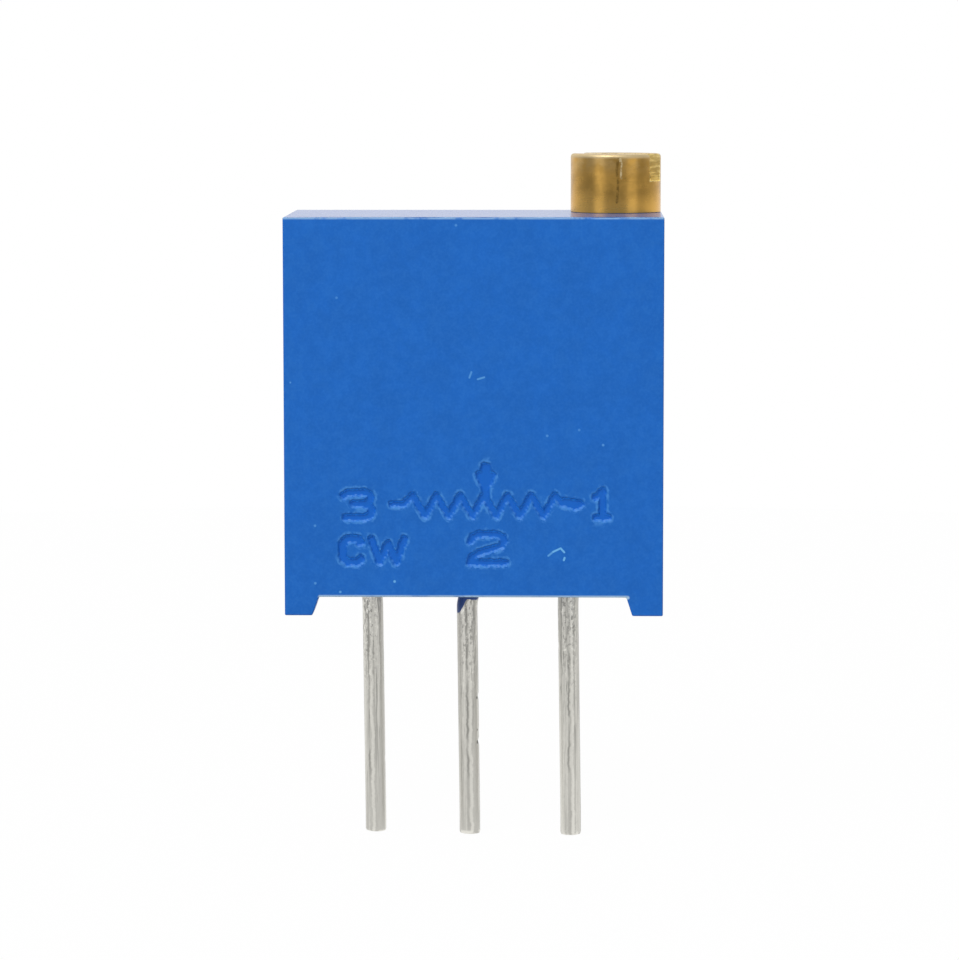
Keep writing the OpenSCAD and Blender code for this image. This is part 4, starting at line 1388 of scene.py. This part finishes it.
def terminal_shape(name, number, chamfer):
    """A round wire with a sheared end below and a flattened end above."""
    (x0, _, low), (x1, _, high) = corners(f"terminal_{number}")
    x, r = wire_place(number)
    flat_low = corners("ceramic_substrate")[0][2]
    flat_high = flat_low + 0.20
    bpy.ops.object.select_all(action="DESELECT")
    bpy.ops.mesh.primitive_cylinder_add(vertices=48, radius=r, depth=flat_low - low,
                                        location=(x, 0, (flat_low + low) / 2))
    wire = apply_place(bpy.context.object)
    wire.name = name
    edit(wire)
    pick("FACE", lambda c, f: f.normal.z > 0.9)
    # the round end is pressed to a tab in three steps, as wide as the node, and slides to the pad
    tab_wide, tab_thick = (x1 - x0) / 2 / r, 0.65
    slide = r - r * tab_thick
    last_wide, last_thick, slid = 1.0, 1.0, 0.0
    for height, share in ((0.05, 0.2), (0.10, 0.8), (0.05, 1.0)):
        extrude(z=height)
        wide, thick = 1 + share * (tab_wide - 1), 1 - share * (1 - tab_thick)
        bpy.ops.transform.resize(value=(wide / last_wide, thick / last_thick, 1),
                                 center_override=(x, -slid * slide, 0))
        move(y=-(share - slid) * slide)
        last_wide, last_thick, slid = wide, thick, share
    extrude(z=high - flat_high)
    pick("EDGE", lambda c, e: c.z > high - 0.001)
    bpy.ops.mesh.bevel(offset=0.04, segments=2)
    pick("EDGE", lambda c, e: c.z < low + 0.001)
    bpy.ops.mesh.bevel(offset=chamfer, segments=2, profile=0.6)
    return outward(wire)


class TRIMMER_OT_terminals(Operator):
    """Draws and tins the three terminal wires, with the small dents that handling leaves"""

    bl_idname = "trimmer.terminals"
    bl_label = "Terminals"

    def execute(self, context):
        chamfer = MM * context.scene.trimmer_element.wire_chamfer
        for number in (1, 2, 3):
            node = f"terminal_{number}"
            low = corners(node)[0][2]
            x, r = wire_place(number)
            wire = terminal_shape(f"terminal_{number}_tinned", number, chamfer)
            edit(wire)
            # rings of points about 0.1 mm apart, close enough for the dents
            for k in range(1, 64):
                bpy.ops.mesh.select_all(action="SELECT")
                bpy.ops.mesh.bisect(plane_co=(0, 0, low + 0.09 + 0.0985 * k), plane_no=(0, 0, 1))
            done()
            # dents as (height, direction round the wire, depth)
            dents = {2: [(-2.44, 0.0, 0.020), (-3.60, 0.05, 0.034), (-3.36, -0.1, 0.012)],
                     1: [(-1.10, 3.2, 0.010)], 3: [(-4.10, 0.2, 0.012)]}[number]
            # sideways shift where the wire leaves the body and at its end, and what was cut off it
            begin, end, short = {1: (-0.015, 0.060, 0.0), 2: (-0.080, -0.015, 0.020),
                                 3: (0.025, 0.085, 0.085)}[number]
            inside = 0.45  # above this height the wire is in the part, straight and undented
            for point in wire.data.vertices:
                z = point.co.z
                if z > inside:
                    continue
                a = math.atan2(point.co.y, point.co.x - x)
                wave = noise.noise(Vector((3 * math.cos(a), 3 * math.sin(a), 0.9 * z + 7 * number)))
                swell = noise.noise(Vector((math.cos(a), math.sin(a), 2.5 * z + 19 * number)))
                shrink = 0.002 * (0.5 + 0.5 * wave) + 0.002 * (0.5 + 0.5 * swell)
                for at, way, deep in dents:
                    turn = abs((a - way + math.pi) % (2 * math.pi) - math.pi)
                    shrink += deep * math.exp(-((z - at) / 0.07) ** 2 - (turn / 0.5) ** 2)
                point.co.x -= shrink * math.cos(a)
                point.co.y -= shrink * math.sin(a)
                if z < low + 0.12:  # the shears leave the end a little out of square
                    lift = (0.5 + 0.5 * math.cos(a + 1.1 * number)) * (low + 0.12 - z) / 0.12
                    point.co.z += 0.016 * lift * math.hypot(point.co.x - x, point.co.y) / r
                point.co.z += short * max(0.0, (z + 3.0) / (low + 3.0))
                bend = min(1.0, (inside - z) / 0.55)
                bend = bend * bend * (3 - 2 * bend)
                point.co.x += bend * (begin + (end - begin) * min(1.0, max(0.0, z / (low + 0.5))))
            smooth(wire, 40)
            settle(wire, node, "body", finish("tin"))
        return {"FINISHED"}


class TRIMMER_OT_solder(Operator):
    """Sets the solder that joins each terminal to its pad"""

    bl_idname = "trimmer.solder"
    bl_label = "Solder"

    def execute(self, context):
        chamfer = MM * context.scene.trimmer_element.wire_chamfer
        for number in (1, 2, 3):
            node = f"solder_joint_{number}"
            (x0, film, low), (x1, y1, high) = corners(node)
            x, r = (x0 + x1) / 2, (x1 - x0) / 2
            tall = high - low
            # (share of the radius, share of the height) up the drop
            drop = [(0, 0), (0.5, 0), (0.80, 0.03), (0.96, 0.12), (1, 0.26), (0.98, 0.42), (0.90, 0.60),
                    (0.76, 0.78), (0.52, 0.92), (0.24, 0.985), (0, 1)]
            profile = [(a * r, low + b * tall) for a, b in drop]
            blob = turned(f"solder_joint_{number}_set", profile, (x, y1 - r, 0), steps=64)
            cut(blob, block("film", (x - 1, film - 2, low - 1), (x + 1, film, high + 1)),
                terminal_shape("wire", number, chamfer))
            smooth(blob, 45)
            settle(blob, node, "body", finish("solder"))
        return {"FINISHED"}


class TRIMMER_OT_epoxy(Operator):
    """Pours the potting compound that closes the bottom, with its edge drawn up at walls and wires"""

    bl_idname = "trimmer.epoxy"
    bl_label = "Potting"

    def execute(self, context):
        (x0, y0, low), (x1, y1, high) = corners("epoxy_seal")
        only(frame["nodes"]["epoxy_seal"])
        bpy.ops.object.duplicate()
        seal = bpy.context.object
        for key in list(seal.keys()):
            del seal[key]
        seal.parent = None
        seal.name = "epoxy_potted"
        seal.data.materials.clear()
        seal.scale = (MM,) * 3
        apply_place(seal)
        edit(seal)
        bpy.ops.mesh.remove_doubles(threshold=0.001)
        bpy.ops.mesh.dissolve_limited(angle_limit=0.01)
        under = lambda c, f: f.normal.z < -0.99 and c.z < low + 0.001
        for a, b, way, count in ((x0, x1, (1, 0, 0), 54), (y0, y1, (0, 1, 0), 23)):
            for k in range(1, count):
                pick("FACE", under)
                bpy.ops.mesh.bisect(plane_co=[w * (a + (b - a) * k / count) for w in way], plane_no=way)
        done()
        housing = context.scene.trimmer_housing
        box_low, box_high = corners("housing")
        middle = (box_low[0] + box_high[0]) / 2
        post_x = box_high[0] - MM * housing.foot_root - middle
        post_y = box_high[1] - MM * housing.foot_length
        for point in seal.data.vertices:
            if point.co.z > low + 0.001:
                continue
            px, py, _ = point.co
            post = math.hypot(max(0.0, post_x - abs(px - middle)), max(0.0, post_y - abs(py)))
            wall = min(px - x0, x1 - px, py - y0, y1 - py, post)
            # the surface is a little wavy, and drawn down along walls and posts
            wave = noise.noise(Vector((px, py, 3.0)) * 0.9)
            point.co.z += 0.02 * wave + 0.02 - 0.10 * math.exp(-wall / 0.13)
        for number in (1, 2, 3):
            x, r = wire_place(number)
            climb = 0.26 if number == 2 else 0.13
            profile = [(r - 0.02, low + 0.3), (r - 0.02, low - climb), (r + 0.01, low - climb),
                       (r + 0.03, low - 0.6 * climb), (r + 0.08, low - 0.28 * climb),
                       (r + 0.15, low - 0.08 * climb), (r + 0.24, low + 0.02), (r + 0.34, low + 0.08),
                       (r + 0.34, low + 0.3)]
            collar = turned_ring("collar", profile, (x, 0, 0), "Z", 56)
            for point in collar.data.vertices:
                if point.co.z < low:
                    turn = math.atan2(point.co.y, point.co.x - x)
                    lean = 0.5 + 0.5 * math.cos(turn - (2.6 if number == 2 else 1.7 * number))
                    point.co.z = low + (point.co.z - low) * (0.35 + 0.65 * lean)
            join(seal, collar)
        outward(seal)
        smooth(seal, 40)
        settle(seal, "epoxy_seal", "body", finish("epoxy"))
        return {"FINISHED"}


class TRIMMER_OT_studio(Operator):
    """Sets up the stage: pale floor, even studio light and the camera"""

    bl_idname = "trimmer.studio"
    bl_label = "Studio"

    def execute(self, context):
        s = context.scene.trimmer_studio
        scene = context.scene
        scene.view_settings.view_transform = "Standard"

        # floor: a wide disc under the wire ends, white to the camera and in reflections
        bpy.ops.object.select_all(action="DESELECT")
        bpy.ops.mesh.primitive_circle_add(vertices=96, radius=0.075, fill_type="NGON",
                                          location=(0, 0, cad_low[2]))
        floor = apply_place(bpy.context.object)
        floor.name = "floor"
        f = Finish("floor_paper", roughness=0.9)
        ray = f.add("ShaderNodeLightPath").outputs
        paper = f.blend(f.level(f.noise(900, 3.0), 0.3, 0.7), (0.90,) * 3, (0.92,) * 3)
        f.set("Base Color", f.blend(ray["Is Diffuse Ray"], paper, (0.40,) * 3))
        seen = f.math("MAXIMUM", ray["Is Camera Ray"],
                      f.math("MAXIMUM", ray["Is Glossy Ray"], ray["Is Transmission Ray"]))
        white = f.add("ShaderNodeEmission", {"Color": (1, 1, 1), "Strength": 1.0})
        mix = f.add("ShaderNodeMixShader", {0: f.times(seen, 0.985),
                                            1: f.shader.outputs[0], 2: white.outputs[0]})
        f.put(f.tree.nodes["Material Output"].inputs["Surface"], mix.outputs[0])
        floor.data.materials.append(f.material)
        floor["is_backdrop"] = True

        # light from all round: white where it is seen, dimmer in front where the room is
        scene.world = bpy.data.worlds.new("studio")
        scene.world.use_nodes = True
        n = Nodes(scene.world.node_tree)
        sky = n.tree.nodes["Background"].inputs
        ray = n.add("ShaderNodeLightPath").outputs
        way = n.parts(n.add("ShaderNodeTexCoord").outputs["Generated"])
        mix = lambda share, a, b: n.add("ShaderNodeMix", {0: share, 2: a, 3: b}).outputs[0]
        level = mix(ray["Is Glossy Ray"], s.fill, n.span(n.level(way["Y"], -0.70, 0.95), 0.42, 1.0))
        level = mix(ray["Is Camera Ray"], level, 1.0)
        level = mix(ray["Is Transmission Ray"], level, 1.0)
        n.put(sky["Strength"], level)
        n.put(sky["Color"], (1, 1, 1))

        def soft_box(name, azimuth, height, away, wide, tall, radiance):
            a = math.radians(azimuth)
            place = Vector((away * math.sin(a), -away * math.cos(a), height))
            bpy.ops.object.light_add(type="AREA", location=place)
            lamp = context.object
            lamp.name = name
            lamp.data.shape = "RECTANGLE"
            lamp.data.size, lamp.data.size_y = wide, tall
            lamp.data.energy = radiance * math.pi * wide * tall
            lamp.rotation_euler = (aim - place).to_track_quat("-Z", "Y").to_euler()

        aim = Vector((0, 0, 0.005))
        soft_box("key_box", -28, 0.26, 0.21, 0.16, 0.13, s.key)
        soft_box("left_box", -43, 0.05, 0.24, 0.11, 0.26, s.side)
        # the right box is a little weaker
        soft_box("right_box", 43, 0.05, 0.24, 0.11, 0.26, 0.85 * s.side)

        # camera
        a, e = s.azimuth, s.elevation
        back = Vector((math.sin(a) * math.cos(e), -math.cos(a) * math.cos(e), math.sin(e)))
        place = Vector(s.target) + back * s.distance
        right = (-back).cross(Vector((0, 0, 1))).normalized()
        up = right.cross(-back)
        right, up = (right * math.cos(s.roll) + up * math.sin(s.roll),
                     up * math.cos(s.roll) - right * math.sin(s.roll))
        turn = Matrix((right, up, back)).transposed().to_4x4()
        bpy.ops.object.camera_add()
        camera = context.object
        camera.matrix_world = Matrix.Translation(place) @ turn
        camera.data.sensor_fit = "HORIZONTAL"
        camera.data.sensor_width = 36
        camera.data.lens = s.lens
        camera.data.clip_start, camera.data.clip_end = 0.002, 20
        scene.camera = camera
        return {"FINISHED"}


class TRIMMER_PT_panel(Panel):
    """Lists the trimmer's sizes and the buttons that make its pieces"""

    bl_label = "Trimmer potentiometer"
    bl_space_type = "VIEW_3D"
    bl_region_type = "UI"
    bl_category = "Trimmer"

    def draw(self, context):
        layout = self.layout
        for group, kind in GROUPS.items():
            box = layout.box()
            box.label(text=kind.__name__)
            for name in kind.__annotations__:
                box.prop(getattr(context.scene, group), name)
        for step in STEPS:
            layout.operator(step.bl_idname)


STEPS = [
    TRIMMER_OT_housing,
    TRIMMER_OT_screw,
    TRIMMER_OT_seal_ring,
    TRIMMER_OT_retainer,
    TRIMMER_OT_rotor,
    TRIMMER_OT_wiper,
    TRIMMER_OT_ceramic,
    TRIMMER_OT_films,
    TRIMMER_OT_terminals,
    TRIMMER_OT_solder,
    TRIMMER_OT_epoxy,
    TRIMMER_OT_studio,
]


def register():
    for kind in (*GROUPS.values(), *STEPS, TRIMMER_PT_panel):
        bpy.utils.register_class(kind)
    for name, kind in GROUPS.items():
        setattr(bpy.types.Scene, name, PointerProperty(type=kind))


def unregister():
    for name in GROUPS:
        delattr(bpy.types.Scene, name)
    for kind in (TRIMMER_PT_panel, *reversed(STEPS), *GROUPS.values()):
        bpy.utils.unregister_class(kind)


def main():
    register()
    for step in STEPS:
        getattr(bpy.ops.trimmer, step.bl_idname.split(".")[1])()


if __name__ == "__main__":
    main()
